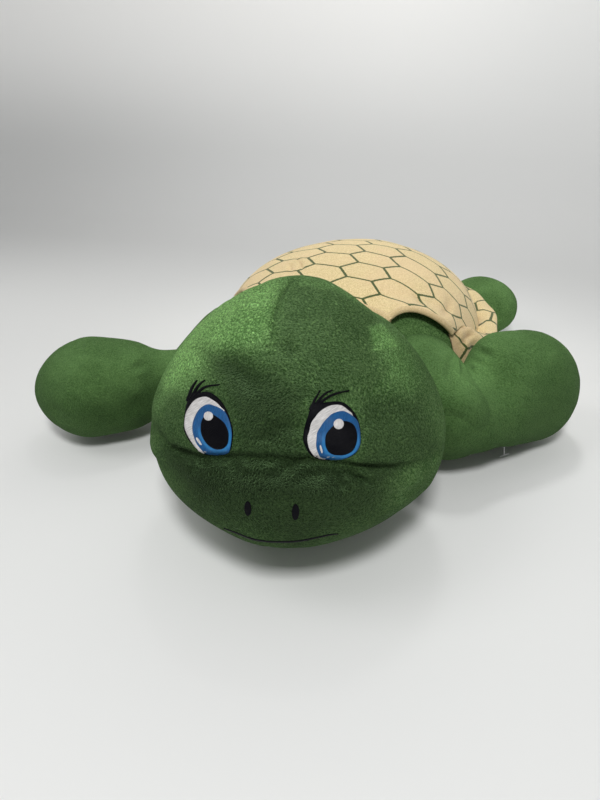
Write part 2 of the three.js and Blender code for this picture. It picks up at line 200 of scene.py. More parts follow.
# closes a tube's two ends and faces it outwards
def closeEnds(piece):
    selectOnly(piece)
    bpy.ops.object.mode_set(mode="EDIT")
    bpy.ops.mesh.select_mode(type="EDGE")
    bpy.ops.mesh.select_all(action="DESELECT")
    bpy.ops.mesh.select_non_manifold()
    bpy.ops.mesh.fill()
    bpy.ops.mesh.select_all(action="SELECT")
    bpy.ops.mesh.normals_make_consistent(inside=False)
    bpy.ops.mesh.select_mode(type="VERT")
    bpy.ops.object.mode_set(mode="OBJECT")


# the route through some points, as a smooth line of many points
def smoothLine(points, count):
    points = np.asarray(points, float)
    padded = np.vstack([2 * points[0] - points[1], points, 2 * points[-1] - points[-2]])
    line = []
    for share in np.linspace(0, len(points) - 1 - 1e-9, count):
        i = int(share)
        t = share - i
        a, b, c, d = padded[i:i + 4]
        line.append(0.5 * (2 * b + (c - a) * t + (2 * a - 5 * b + 4 * c - d) * t * t
                           + (3 * b - a - 3 * c + d) * t ** 3))
    return np.array(line)


# how far each point lies from a line, and how far along the line (0 to 1)
def nearLine(points, line):
    best = np.full(len(points), 1e9)
    along = np.zeros(len(points))
    for i, (a, b) in enumerate(zip(line[:-1], line[1:])):
        step = b - a
        t = np.clip((points - a) @ step / max(step @ step, 1e-12), 0, 1)
        gap = np.linalg.norm(points - a - t[:, None] * step, axis=1)
        nearer = gap < best
        best[nearer] = gap[nearer]
        along[nearer] = (i + t[nearer]) / (len(line) - 1)
    return best, along


# 1 inside an outline, 0 outside it, and softly between
def insideOutline(points, outline, soft):
    outline = np.asarray(outline, float)
    crossed = np.zeros(len(points), bool)
    for a, b in zip(outline, np.roll(outline, -1, axis=0)):
        spans = (a[1] > points[:, 1]) != (b[1] > points[:, 1])
        meets = a[0] + (points[:, 1] - a[1]) / (b[1] - a[1] + 1e-12) * (b[0] - a[0])
        crossed ^= spans & (points[:, 0] < meets)
    gap = nearLine(points, np.vstack([outline, outline[:1]]))[0]
    return ease(0.5 + np.where(crossed, gap, -gap) / (2 * soft))


def surfaceOf(piece):
    return BVHTree.FromPolygons(
        [v.co.copy() for v in piece.data.vertices], [list(f.vertices) for f in piece.data.polygons])


# a line drawn on the photograph, laid on the piece
def onPhoto(surface, pixels, count=50):
    found = []
    for u, v in smoothLine(pixels, count):
        hit = surface.ray_cast(*pixelRay(u, v))[0]
        if hit is not None:
            found.append(hit[:])
    return np.array(found)


# presses a groove of this width and depth into a piece, with a soft lip on each side, and paints shade into
# the groove as the 'fold' attribute
groove = {"lipAt": 2.2, "darkFrom": 2.5 * mm, "darkUpTo": 2.6 * mm, "darkShare": 0.8}


def press(piece, line, width, depth, lip, fade, dark=1.0):
    if len(line) < 2:
        return
    points = pointsOf(piece)
    gap, along = nearLine(points, line)
    ends = ease(along / fade) * ease((1 - along) / fade)
    change = lip * depth * hill(gap, groove["lipAt"] * width, width) - depth * hill(gap, 0, width)
    setPoints(piece, points + normalsOf(piece) * (change * ends)[:, None])
    layer = piece.data.attributes.get("fold")
    before = np.zeros(len(points))
    if layer:
        layer.data.foreach_get("value", before)
    shade = dark * min(1, depth / groove["darkFrom"]) * min(1, groove["darkUpTo"] / width)
    paint(piece, "fold", np.maximum(before, hill(gap, 0, groove["darkShare"] * width) * ends * shade))


# stuffs a piece: evens its mesh out, blows it up as cloth, and keeps its size
stuffing = {
    "frames": 20, "heldFrom": 0.02,
    "settings": {"quality": 4, "mass": 0.15, "use_pressure": True, "uniform_pressure_force": 4.0,
                 "bending_stiffness": 0.4, "vertex_group_mass": "held"},
}


def stuff(piece, slack, cap, voxel=4.5 * mm, levels=1, hold=None):
    finishWith(piece, "REMESH", mode="VOXEL", voxel_size=voxel, use_smooth_shade=True)
    finishWith(piece, "SMOOTH", factor=0.5, iterations=4)
    start, outwards = pointsOf(piece), normalsOf(piece)
    group = piece.vertex_groups.new(name="held")
    weights = hold(start) if hold else np.zeros(len(start))
    for i in np.nonzero(weights > stuffing["heldFrom"])[0]:
        group.add([int(i)], float(weights[i]), "REPLACE")
    selectOnly(piece)
    cloth = piece.modifiers.new("stuffing", "CLOTH")
    for key, value in stuffing["settings"].items():
        setattr(cloth.settings, key, value)
    cloth.settings.shrink_min = -slack
    cloth.settings.effector_weights.gravity = 0
    cloth.collision_settings.use_collision = False
    cloth.point_cache.frame_start = 1
    cloth.point_cache.frame_end = stuffing["frames"]
    for step in range(1, stuffing["frames"] + 1):
        bpy.context.scene.frame_set(step)
    bpy.ops.object.modifier_apply(modifier=cloth.name)
    bpy.context.scene.frame_set(1)
    piece.vertex_groups.clear()
    moved = pointsOf(piece) - start
    moved -= outwards * np.mean((moved * outwards).sum(1))
    far = np.linalg.norm(moved, axis=1)[:, None]
    setPoints(piece, start + moved * np.minimum(1, cap / np.maximum(far, 1e-9)))
    finishWith(piece, "SUBSURF", levels=levels, render_levels=levels)
    paint(piece, "fold", np.zeros(len(piece.data.vertices)))


def dress(piece, material, slotName, body, *replaced, padding=None):
    piece.data.materials.clear()
    piece.data.materials.append(material)
    selectOnly(piece)
    bpy.ops.object.shade_smooth()
    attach(piece, body)
    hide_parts(*replaced)


def dressStuffed(piece, plush, body, padding):
    dress(piece, plush, "green_plush", body, body + "_skin", body + "_filling", padding=padding)


# node tools
def feed(tree, socket, value):
    if isinstance(value, bpy.types.NodeSocket):
        tree.links.new(value, socket)
    else:
        socket.default_value = value


def addNode(tree, kind, inputs=None, **settings):
    made = tree.nodes.new(kind)
    for key, value in settings.items():
        setattr(made, key, value)
    for key, value in (inputs or {}).items():
        feed(tree, made.inputs[key], value)
    return made


def calc(tree, operation, a, b=0.0, c=0.0):
    return addNode(tree, "ShaderNodeMath", {0: a, 1: b, 2: c}, operation=operation).outputs[0]


def vectorCalc(tree, operation, *values):
    made = addNode(tree, "ShaderNodeVectorMath", dict(enumerate(values)), operation=operation)
    return made.outputs["Value" if operation == "DOT_PRODUCT" else "Vector"]


def scaled(tree, vector, factor):
    return addNode(tree, "ShaderNodeVectorMath", {0: vector, "Scale": factor}, operation="SCALE").outputs[0]


def between(tree, value, low, high, lowTo=0.0, highTo=1.0):
    settings = {"Value": value, "From Min": low, "From Max": high, "To Min": lowTo, "To Max": highTo}
    return addNode(tree, "ShaderNodeMapRange", settings, interpolation_type="SMOOTHSTEP").outputs[0]


def mixColour(tree, share, a, b):
    made = addNode(tree, "ShaderNodeMix", {"Factor": share}, data_type="RGBA")
    for key, value in ((6, a), (7, b)):
        feed(tree, made.inputs[key], value if isinstance(value, bpy.types.NodeSocket) else (*value, 1))
    return made.outputs[2]


def noiseOf(tree, vector, scale, detail=2.0, **more):
    inputs = {"Vector": vector, "Scale": scale, "Detail": detail, **more}
    return addNode(tree, "ShaderNodeTexNoise", inputs).outputs


def painted(tree, name, output="Fac"):
    return addNode(tree, "ShaderNodeAttribute", attribute_name=name).outputs[output]


def placeIn(tree):
    return addNode(tree, "ShaderNodeTexCoord").outputs["Object"]


def newGroup(name, inputs, outputs):
    tree = bpy.data.node_groups.new(name, "ShaderNodeTree")
    for label, kind, value in inputs:
        socket = tree.interface.new_socket(label, in_out="INPUT", socket_type="NodeSocket" + kind)
        if value is not None:
            socket.default_value = value
    for label, kind in outputs:
        tree.interface.new_socket(label, in_out="OUTPUT", socket_type="NodeSocket" + kind)
    return tree, tree.nodes.new("NodeGroupInput").outputs, tree.nodes.new("NodeGroupOutput").inputs


def useGroup(tree, group, **inputs):
    return addNode(tree, "ShaderNodeGroup", inputs, node_tree=group).outputs


def newMaterial(name, roughness, specular, sheen=0.0, sheenTint=(1, 1, 1), sheenRoughness=0.5):
    material = bpy.data.materials.new(name)
    material.use_nodes = True
    shader = material.node_tree.nodes["Principled BSDF"]
    finish = {
        "Roughness": roughness, "Sheen Weight": sheen, "Sheen Tint": (*sheenTint, 1),
        "Sheen Roughness": sheenRoughness, "Specular IOR Level": specular,
    }
    for label, value in finish.items():
        shader.inputs[label].default_value = value
    return material, material.node_tree, shader


# gives a material its colour, and a bump that stands this high
def surfaced(tree, shader, colour, height, distance):
    tree.links.new(colour, shader.inputs["Base Color"])
    bump = addNode(tree, "ShaderNodeBump", {"Height": height, "Distance": distance, "Strength": 1.0})
    tree.links.new(bump.outputs[0], shader.inputs["Normal"])


# short pile: tufts that stand and lean, and wide areas where the nap was brushed another way
pileLook = {
    "sweep": 26.0, "lean": 0.01, "tipsPerTuft": 1.5, "tipDepth": -0.35, "tufts": (0.3, 0.7),
    "nap": (0.4, 0.6), "mottle": 140.0, "ruffled": {"Roughness": 0.6, "Distortion": 0.5},
    "pileSize": 1.8 * mm, "napSize": 45 * mm,
}


def pileGroup():
    tree, given, result = newGroup(
        "velourPile",
        [("vector", "Vector", None), ("pileSize", "Float", pileLook["pileSize"]),
         ("napSize", "Float", pileLook["napSize"])],
        [("height", "Float"), ("nap", "Float"), ("mottle", "Float")],
    )
    ruffled = pileLook["ruffled"]
    sweep = noiseOf(tree, given["vector"], pileLook["sweep"], 1.0)["Color"]
    lean = vectorCalc(tree, "SUBTRACT", sweep, (0.5, 0.5, 0.5))
    bent = vectorCalc(tree, "MULTIPLY_ADD", lean, (pileLook["lean"],) * 3, given["vector"])
    perMetre = calc(tree, "DIVIDE", 1.0, given["pileSize"])
    tufts = between(tree, noiseOf(tree, bent, perMetre, **ruffled)[0], *pileLook["tufts"])
    tips = addNode(tree, "ShaderNodeTexVoronoi", {
        "Vector": bent, "Scale": calc(tree, "MULTIPLY", perMetre, pileLook["tipsPerTuft"])},
        feature="SMOOTH_F1").outputs["Distance"]
    nap = noiseOf(tree, bent, calc(tree, "DIVIDE", 1.0, given["napSize"]), 3.0, **ruffled)[0]
    tree.links.new(calc(tree, "MULTIPLY_ADD", tips, pileLook["tipDepth"], tufts), result["height"])
    tree.links.new(between(tree, nap, *pileLook["nap"]), result["nap"])
    tree.links.new(noiseOf(tree, bent, pileLook["mottle"])[0], result["mottle"])
    return tree


velourPile = pileGroup()


plushes = {
    "headPlush": {"dark": (0.044, 0.108, 0.025), "light": (0.205, 0.375, 0.125),
                  "pileSize": 1.15 * mm, "relief": 3.0 * mm, "contrast": 0.95, "napSize": 0.05},
    # the limbs: the head's green painted darker, as shade, with a finer grain
    "shadedLimbPlush": {"dark": (0.032, 0.080, 0.018), "light": (0.140, 0.270, 0.085),
                  "pileSize": 1.1 * mm, "relief": 1.1 * mm, "contrast": 0.45, "napSize": 0.07},
    "bodyPlush": {"dark": (0.044, 0.108, 0.025), "light": (0.205, 0.375, 0.125),
                  "pileSize": 1.4 * mm, "relief": 1.0 * mm, "contrast": 0.6, "napSize": 0.06},
}
plushShares = {"nap": 0.22, "mottle": 0.2, "darker": 0.21, "napAndShade": 1.3, "fold": 0.78, "foldShadeTone": 0.35}


def plushMaterial(name):
    plush = plushes[name]
    material, tree, shader = newMaterial(name, roughness=0.95, sheen=0.15, sheenTint=(0.55, 0.95, 0.42),
                                         sheenRoughness=0.4, specular=0.08)
    pile = useGroup(tree, velourPile, vector=placeIn(tree),
                    pileSize=plush["pileSize"], napSize=plush["napSize"])
    share = calc(tree, "MULTIPLY_ADD", pile["height"], plush["contrast"], 0.5 - plush["contrast"] / 2)
    share = calc(tree, "MULTIPLY_ADD", pile["nap"], plushShares["nap"], share)
    share = calc(tree, "MULTIPLY_ADD", pile["mottle"], plushShares["mottle"],
                 calc(tree, "SUBTRACT", share, plushShares["darker"]))
    # painted light and shade together with the nap's tone: the colour is scaled by two to the power of this
    # attribute
    napAndShade = calc(tree, "MULTIPLY", painted(tree, "napAndShade"), plushShares["napAndShade"])
    colour = mixColour(tree, share, plush["dark"], plush["light"])
    colour = scaled(tree, colour, calc(tree, "POWER", 2.0, napAndShade))
    # painted shade in folds and grooves: the colour is mixed towards a darker green
    foldShade = calc(tree, "MULTIPLY", painted(tree, "fold"), plushShares["fold"])
    deep = tuple(plushShares["foldShadeTone"] * c for c in plush["dark"])
    surfaced(tree, shader, mixColour(tree, foldShade, colour, deep), pile["height"], plush["relief"])
    return material


headPlush, shadedLimbPlush, bodyPlush = [plushMaterial(name) for name in plushes]
print("plush materials ready")


# six-sided lattice, measured between opposite sides
latticeLook = {"cell": 40 * mm, "line": 1.6 * mm, "edge": (0.494, 0.506)}


def latticeGroup():
    tree, given, result = newGroup(
        "printedLattice",
        [("vector", "Vector", None), ("cell", "Float", latticeLook["cell"]),
         ("line", "Float", latticeLook["line"])],
        [("line", "Float")],
    )
    tall = math.sqrt(3)
    corner = (0.5, tall / 2, 0)
    inverse = calc(tree, "DIVIDE", 1.0, given["cell"])
    place = scaled(tree, given["vector"], inverse)

    def centred(shift):
        moved = vectorCalc(tree, "ADD", place, shift)
        wrapped = vectorCalc(tree, "WRAP", moved, (1, tall, 1), (0, 0, 0))
        return vectorCalc(tree, "SUBTRACT", wrapped, corner)

    def edgeDistance(v):
        mirrored = vectorCalc(tree, "ABSOLUTE", vectorCalc(tree, "MULTIPLY", v, (1, 1, 0)))
        slanted = vectorCalc(tree, "DOT_PRODUCT", mirrored, corner)
        straight = addNode(tree, "ShaderNodeSeparateXYZ", {0: mirrored}).outputs[0]
        return calc(tree, "MAXIMUM", slanted, straight)

    nearest = calc(tree, "MINIMUM", edgeDistance(centred((0, 0, 0))), edgeDistance(centred(corner)))
    half = calc(tree, "MULTIPLY", calc(tree, "MULTIPLY", given["line"], inverse), 0.5)
    low, high = [calc(tree, "SUBTRACT", edge, half) for edge in latticeLook["edge"]]
    tree.links.new(between(tree, nearest, low, high), result["line"])
    return tree


printedLattice = latticeGroup()
prints = {
    "topPrint": {"cell": 0.038, "line": 2.5 * mm, "turn": 0, "shift": (0, 0, 0), "drift": 0.006},
    "brimPrint": {"cell": 0.030, "line": 2.3 * mm, "turn": 38, "shift": (0.0, 0.004, 0), "drift": 0.02},
}
# the 'fold' colour is painted shade: the cloth is mixed towards dark brown in tucks, at the brim's bunched
# corner and on the hems, most under them
shellCloth = {
    "deep": (0.69, 0.54, 0.27), "high": (0.92, 0.755, 0.42), "nap": (0.83, 0.60, 0.36),
    "fold": (0.42, 0.25, 0.135), "ink": (0.045, 0.085, 0.018), "napShare": 0.35, "foldShare": 0.7,
    "inkShare": 0.97, "bleed": 1.1 * mm, "relief": 0.35 * mm, "driftScale": 14.0, "bleedScale": 700.0,
    "pileSize": 1.1 * mm, "napSize": 50 * mm,
}


def shellMaterial(name):
    lattice = prints[name]
    material, tree, shader = newMaterial(name, roughness=0.9, sheen=0.25, sheenTint=(1.0, 0.93, 0.8),
                                         specular=0.2)
    sewn, place = painted(tree, "print", "Vector"), placeIn(tree)
    drifted = noiseOf(tree, sewn, shellCloth["driftScale"], 1.0)["Color"]
    bled = noiseOf(tree, place, shellCloth["bleedScale"])["Color"]
    off = vectorCalc(tree, "MULTIPLY_ADD", drifted, (lattice["drift"], lattice["drift"], 0), sewn)
    off = vectorCalc(tree, "MULTIPLY_ADD", bled, (shellCloth["bleed"], shellCloth["bleed"], 0), off)
    turn = (0, 0, math.radians(lattice["turn"]))
    laid = addNode(tree, "ShaderNodeMapping", {
        "Vector": off, "Location": lattice["shift"], "Rotation": turn}).outputs[0]
    ink = useGroup(tree, printedLattice, vector=laid, cell=lattice["cell"], line=lattice["line"])["line"]
    inked = calc(tree, "SUBTRACT", shellCloth["inkShare"], painted(tree, "plain"))
    ink = calc(tree, "MULTIPLY", ink, inked)
    pile = useGroup(tree, velourPile, vector=place,
                    pileSize=shellCloth["pileSize"], napSize=shellCloth["napSize"])
    cloth = mixColour(tree, pile["height"], shellCloth["deep"], shellCloth["high"])
    for share, colour in ((pile["nap"], "nap"), (painted(tree, "fold"), "fold")):
        part = calc(tree, "MULTIPLY", share, shellCloth[colour + "Share"])
        cloth = mixColour(tree, part, cloth, shellCloth[colour])
    cloth = mixColour(tree, ink, cloth, shellCloth["ink"])
    surfaced(tree, shader, cloth, pile["height"], shellCloth["relief"])
    return material


topPrint, brimPrint = [shellMaterial(name) for name in prints]
print("shell print ready")

# colour, colour along its edge, gloss and sheen
threads = {
    "whiteThread": ((0.70, 0.68, 0.67), (0.50, 0.49, 0.50), 0.3, 0.1),
    "blueThread": ((0.004, 0.090, 0.27), (0.020, 0.18, 0.43), 0.3, 0.04),
    "blackThread": ((0.002, 0.002, 0.004), (0.002, 0.002, 0.004), 0.08, 0.0),
}
threadLook = {"laid": (1900, 150, 1), "strands": (0.3, 0.75), "darker": 0.62, "relief": 0.35 * mm}


def threadMaterial(name):
    colour, edge, gloss, sheen = threads[name]
    material, tree, shader = newMaterial(name, roughness=0.5, sheen=sheen, sheenRoughness=0.4,
                                         specular=gloss)
    stitch = painted(tree, "stitch", "Vector")
    laid = addNode(tree, "ShaderNodeMapping", {"Vector": stitch, "Scale": threadLook["laid"]}).outputs[0]
    lines = noiseOf(tree, laid, 1.0)[0]
    deep = tuple(threadLook["darker"] * c for c in colour)
    shade = mixColour(tree, between(tree, lines, *threadLook["strands"]), deep, colour)
    shade = mixColour(tree, painted(tree, "rim"), shade, edge)
    surfaced(tree, shader, shade, lines, threadLook["relief"])
    return material


whiteThread, blueThread, blackThread = [threadMaterial(name) for name in threads]
print("thread materials ready")

# head
head = {
    "centre": (-3 * mm, -198 * mm, 95 * mm), "halfWidth": 94 * mm, "front": 97 * mm, "back": 80 * mm,
    "halfHeight": 84 * mm, "narrowerAbove": 0.28, "rounderBelow": 0.15, "chinFrom": 0.4, "rounder": 0.05,
    "crease": {"height": 0.13, "droop": 0.28, "depth": 0.04, "spread": 0.09, "held": 4 * mm,
               "from": 0.05, "over": 0.6},
    "chin": [(262, 538), (280, 540), (300, 539)], "chinSpread": 26 * mm,
    "chinPush": (-0.001, -0.001, -0.0035), "facing": 0.15,
}


def headPlace(d):
    x, y, z = d.T
    narrow = (1 - head["narrowerAbove"] * z - head["rounderBelow"] * np.maximum(0, -z - head["chinFrom"])
              - head["rounder"] * z * z)
    fold = head["crease"]
    front = ease((-y - fold["from"]) / fold["over"])
    pinch = 1 - fold["depth"] * front * hill(z, fold["height"] - fold["droop"] * x * x, fold["spread"])
    length = np.where(y > 0, head["back"], head["front"])
    wide, deep = head["halfWidth"] * narrow * pinch, length * narrow * pinch
    return np.array(head["centre"]) + np.stack([wide * x, deep * y, head["halfHeight"] * z], axis=1)


# folds, seams and nap of the face, as they lie in the photograph: pixels, width, depth, lip and fade; each
# groove is pressed and painted with shade
crease = [
    (160, 446), (174, 451), (190, 456), (206, 458), (226, 458), (250, 459.6), (290, 460.4), (308, 461.6),
    (330, 463), (350, 465.6), (370, 468), (390, 468), (414, 465), (432, 458),
]
hollow = [(182, 464), (210, 466), (240, 468), (275, 470), (310, 471), (345, 474), (380, 476)]
foreheadSeam = [(296, 276), (288, 286), (280, 300), (274, 316), (271, 334), (271, 343)]
faceFolds = [
    (hollow, 9 * mm, 3.5 * mm, 0, 0.3),
    (crease, 2.3 * mm, 3.6 * mm, 0.35, 0.2),
    (crease[:9], 2.4 * mm, 2.8 * mm, 0.3, 0.12),
    ([(334, 464), (350, 472), (364, 480), (378, 490)], 2.6 * mm, 3.8 * mm, 0.25, 0.35),
    ([(328, 465), (339, 480), (348, 493)], 2.6 * mm, 2.2 * mm, 0.25, 0.35),
    ([(306, 461), (290, 466), (278, 472)], 2.8 * mm, 3.6 * mm, 0.25, 0.35),
    ([(210, 459), (200, 464), (188, 472)], 3.0 * mm, 3.9 * mm, 0.25, 0.35),
    ([(227, 459), (232, 466), (234, 476)], 2.8 * mm, 3.4 * mm, 0.25, 0.35),
    ([(206, 350), (226, 362), (240, 372), (256, 382), (274, 394)], 6 * mm, 2.6 * mm, 0.25, 0.35),
    ([(279, 341), (287, 348), (299, 357)], 4 * mm, 1.6 * mm, 0.25, 0.35),
    ([(262, 345), (270, 346), (279, 341)], 1.8 * mm, 1.3 * mm, 0.25, 0.35),
    ([(262, 354), (270, 355), (278, 351)], 2.4 * mm, 1.2 * mm, 0.25, 0.35),
    (foreheadSeam, 1.3 * mm, 1.5 * mm, 0.6, 0.15),
]
# tones of the brushed nap, with painted shade mixed in between the eyes, under the crease and on the
# muzzle: outline, softness and tone, lighter above 0
napAndShadeAreas = [
    ([(282, 290), (310, 285), (332, 291), (366, 306), (380, 320), (369, 327), (369, 349), (392, 366),
      (372, 392), (300, 400), (262, 385), (276, 352), (275, 318)], 3, -0.25),
    ([(369, 327), (383, 322), (398, 346), (374, 351)], 2, 0.5),
    ([(170, 330), (235, 280), (285, 276), (280, 300), (270, 345), (230, 352), (165, 400), (150, 420)],
     18, 1.15),
    # painted shade between the eyes
    ([(204, 350), (232, 358), (298, 396), (300, 456), (238, 452), (226, 385)], 20, -1.45),
    ([(150, 380), (184, 396), (188, 440), (200, 458), (165, 452), (140, 420)], 9, -0.45),
    ([(362, 400), (420, 400), (440, 450), (400, 466), (362, 462)], 12, -0.75),
    ([(372, 330), (400, 330), (418, 372), (410, 392), (384, 380)], 16, 0.65),
    # painted shade in the band under the crease
    ([(165, 455), (230, 460), (320, 463), (350, 470), (340, 495), (200, 495)], 12, -0.8),
    # painted shade on the muzzle, which faces down
    ([(165, 452), (230, 458), (320, 462), (392, 470), (380, 515), (300, 548), (190, 515)], 20, -1.5),
    ([(300, 274), (360, 285), (400, 325), (376, 318), (340, 292), (300, 286)], 3, 0.35),
]
headSkin = roundForm("head", headPlace, 96, 64)
creaseLine = onPhoto(surfaceOf(headSkin), crease)
stuff(headSkin, voxel=4 * mm, slack=0.05, cap=1.6 * mm, levels=2,
      hold=lambda points: hill(nearLine(points, creaseLine)[0], 0, head["crease"]["held"]))
points = pointsOf(headSkin)
chin = onPhoto(surfaceOf(headSkin), head["chin"], 5)
push = hill(nearLine(points, chin)[0], 0, head["chinSpread"])
setPoints(headSkin, points + push[:, None] * np.array(head["chinPush"]))
headSurface = surfaceOf(headSkin)
for pixels, width, depth, lip, fade in faceFolds:
    press(headSkin, onPhoto(headSurface, pixels), width, depth, lip, fade)
seenAt = pixelsOf(pointsOf(headSkin))
towards = np.array(camera.matrix_world.to_3x3() @ Vector((0, 0, 1)))
facing = ease((normalsOf(headSkin) @ towards) / head["facing"])
# nap tones and painted shade, laid only where the head faces the camera
napAndShade = sum(tone * insideOutline(seenAt, outline, soft) for outline, soft, tone in napAndShadeAreas)
paint(headSkin, "napAndShade", napAndShade * facing)
dressStuffed(headSkin, headPlush, "head", 0.85)
headSurface = surfaceOf(headSkin)
print("head stuffed:", len(headSkin.data.polygons), "faces")

# limbs: a root, a waist and a blade, laid out along X and set at their joints
sides = {"left": 1, "right": -1}
bodyTurn = -9
armPose = {
    "left": {"direction": -54, "dip": 13, "flipperDirection": 46, "flipperDip": 0, "twist": 75},
    "right": {"direction": -67, "dip": 20, "flipperDirection": -20, "flipperDip": -1, "twist": 14},
}
upperArm = {"rootRadius": 39 * mm, "tipRadius": 34.5 * mm, "length": 44.5 * mm, "from": 0.3, "over": 0.6}
flipper = {"rootRadius": 30.4 * mm, "waist": 29.5 * mm, "length": 138 * mm, "halfWidth": 46.5 * mm,
           "halfThickness": 38.5 * mm}
rearFlipper = {"rootRadius": 28 * mm, "waist": 25 * mm, "length": 113 * mm, "halfWidth": 40 * mm,
               "halfThickness": 30 * mm, "direction": 53, "dip": -3.5}
tail = {"rootRadius": 14 * mm, "waist": 12 * mm, "length": 58 * mm, "halfWidth": 13 * mm,
        "halfThickness": 11 * mm, "dip": 6}


def limbFrame(joint, sign, direction, dip, twist=0):
    plan = math.radians(direction) if sign > 0 else math.pi - math.radians(direction)
    turns = Matrix.Rotation(plan, 4, "Z") @ Matrix.Rotation(math.radians(dip), 4, "Y")
    return Matrix.Translation(joint) @ turns @ Matrix.Rotation(math.radians(sign * twist), 4, "X")


def placed(place, x, y, z):
    return (np.stack([x, y, z, np.ones(len(x))], axis=1) @ np.array(place).T)[:, :3]


# a limb's outline: its round root, its waist and the blade behind, as shares of length and half width
limbOutline = {
    "ball": [0, 22, 45, 67, 90], "waistAt": 0.04, "swellAt": 0.22, "swell": (0.38, 0.62),
    "blade": [(0.43, 0.97), (0.62, 1), (0.81, 0.78), (0.94, 0.42), (1.0, 0)], "points": 120,
    "flatFrom": 0.6, "flatOver": 0.5,
}


def limbPlace(size, place):
    root, reach = size["rootRadius"], size["length"] - size["rootRadius"]
    thin, wide = limbOutline["swell"]
    ball = [(-root * math.cos(a), root * math.sin(a)) for a in np.radians(limbOutline["ball"])]
    blade = [(limbOutline["waistAt"], size["waist"]),
             (limbOutline["swellAt"], thin * size["waist"] + wide * size["halfWidth"])]
    blade += [(share, part * size["halfWidth"]) for share, part in limbOutline["blade"]]
    profile = smoothLine(ball + [(root + reach * share, radius) for share, radius in blade],
                         limbOutline["points"])
    length = lengthAlong(profile)
    flat = size["halfThickness"] / size["halfWidth"]

    def at(d):
        share = np.arccos(np.clip(-d[:, 2], -1, 1)) / math.pi * length[-1]
        along = np.interp(share, length, profile[:, 0])
        radius = np.maximum(0, np.interp(share, length, profile[:, 1]))
        angle = np.arctan2(d[:, 1], d[:, 0])
        past = (along - limbOutline["flatFrom"] * root) / (limbOutline["flatOver"] * reach)
        flatter = 1 + (flat - 1) * ease(past)
        return placed(place, along, radius * np.cos(angle), radius * np.sin(angle) * flatter)

    return at


def armPlace(size, place):
    def at(d):
        share = ease((d[:, 2] + size["from"]) / size["over"])
        radius = size["rootRadius"] * (1 - share) + size["tipRadius"] * share
        return placed(place, d[:, 2] * radius + size["length"] * share, d[:, 0] * radius, d[:, 1] * radius)

    return at


# creases where the arms' cloth is gathered, as they lie in the photograph
armCreases = {
    "upperArm_left": [([(456, 352), (452, 362), (448, 376), (446, 392)], 3.0 * mm, 2.2 * mm),
                      ([(459, 356), (462, 364), (462, 374)], 2.0 * mm, 1.8 * mm)],
    "flipper_left": [([(462, 354), (474, 360), (490, 369)], 2.2 * mm, 1.8 * mm),
                     ([(463, 358), (470, 367), (477, 379)], 2.2 * mm, 1.6 * mm),
                     ([(468, 350), (482, 353), (498, 361)], 2.6 * mm, 1.5 * mm),
                     ([(461, 362), (462, 374), (458, 390), (455, 408)], 4.0 * mm, 1.6 * mm)],
    "flipper_right": [([(150, 362), (140, 366), (126, 370)], 3.0 * mm, 1.2 * mm),
                      ([(152, 400), (140, 404), (122, 402)], 5.0 * mm, 1.6 * mm),
                      ([(46, 404), (56, 412), (62, 424)], 4.0 * mm, 1.6 * mm)],
}
# where the stuffing sags, as seen in the photograph: pixel, spread and push
armSags = {
    "upperArm_left": [((450, 446), 28 * mm, (0, 0.009, 0.005))],
    "flipper_left": [((498, 434), 26 * mm, (-0.003, -0.013, -0.004)),
                     ((490, 352), 29 * mm, (-0.005, 0, 0.012))],
}
sagClear = 0.5 * mm


def gather(piece):
    surface = surfaceOf(piece)
    for pixels, width, depth in armCreases.get(piece.name, []):
        press(piece, onPhoto(surface, pixels), width, depth, lip=0.5, fade=0.5, dark=0.12)


def sag(piece):
    for pixel, spread, push in armSags.get(piece.name, []):
        hit = surfaceOf(piece).ray_cast(*pixelRay(*pixel))[0]
        if hit is not None:
            points = pointsOf(piece)
            moved = points + hill(farFrom(points, hit), 0, spread)[:, None] * np.array(push)
            moved[:, 2] = np.maximum(moved[:, 2], np.minimum(points[:, 2], sagClear))
            setPoints(piece, moved)


# painted light and shade on the limbs: lighter where they face up and at the left elbow, darker on the
# sides, and one tone for the rear flippers
limbLightAndShade = {"top": 0.7, "sides": -0.4, "elbow": 0.35, "elbowAt": (470, 360), "elbowSpread": 22, "leg": 0.45}


def shadeByFacing(piece):
    ruffled = hill(farFrom(pixelsOf(pointsOf(piece)), limbLightAndShade["elbowAt"]), 0, limbLightAndShade["elbowSpread"])
    tone = limbLightAndShade["top"] * ease(normalsOf(piece)[:, 2]) + limbLightAndShade["sides"] + limbLightAndShade["elbow"] * ruffled
    paint(piece, "napAndShade", tone)


for side, sign in sides.items():
    pose = armPose[side]
    armFrame = limbFrame(joints["shoulder_lift_" + side], sign, pose["direction"], pose["dip"])
    bladeFrame = limbFrame(joints["flipper_sweep_" + side], sign,
                           pose["flipperDirection"], pose["flipperDip"], pose["twist"])
    for name, place, body, padding in (
        ("upperArm_", armPlace(upperArm, armFrame), "upper_arm_", 0.7),
        ("flipper_", limbPlace(flipper, bladeFrame), "flipper_", 0.75),
    ):
        limb = roundForm(name + side, place)
        stuff(limb, slack=0.04, cap=2 * mm)
        sag(limb)
        gather(limb)
        shadeByFacing(limb)
        dressStuffed(limb, shadedLimbPlush, body + side, padding)
    legFrame = limbFrame(joints["rear_flipper_lift_" + side], sign,
                         rearFlipper["direction"] + sign * bodyTurn, rearFlipper["dip"])
    leg = roundForm("rearFlipper_" + side, limbPlace(rearFlipper, legFrame))
    stuff(leg, slack=0.04, cap=3 * mm)
    paint(leg, "napAndShade", np.full(len(leg.data.vertices), limbLightAndShade["leg"]))
    dressStuffed(leg, shadedLimbPlush, "rear_flipper_" + side, 0.75)
tailPiece = roundForm("tail", limbPlace(tail, limbFrame(joints["tail_wag"], 1, 90 + bodyTurn, tail["dip"])))
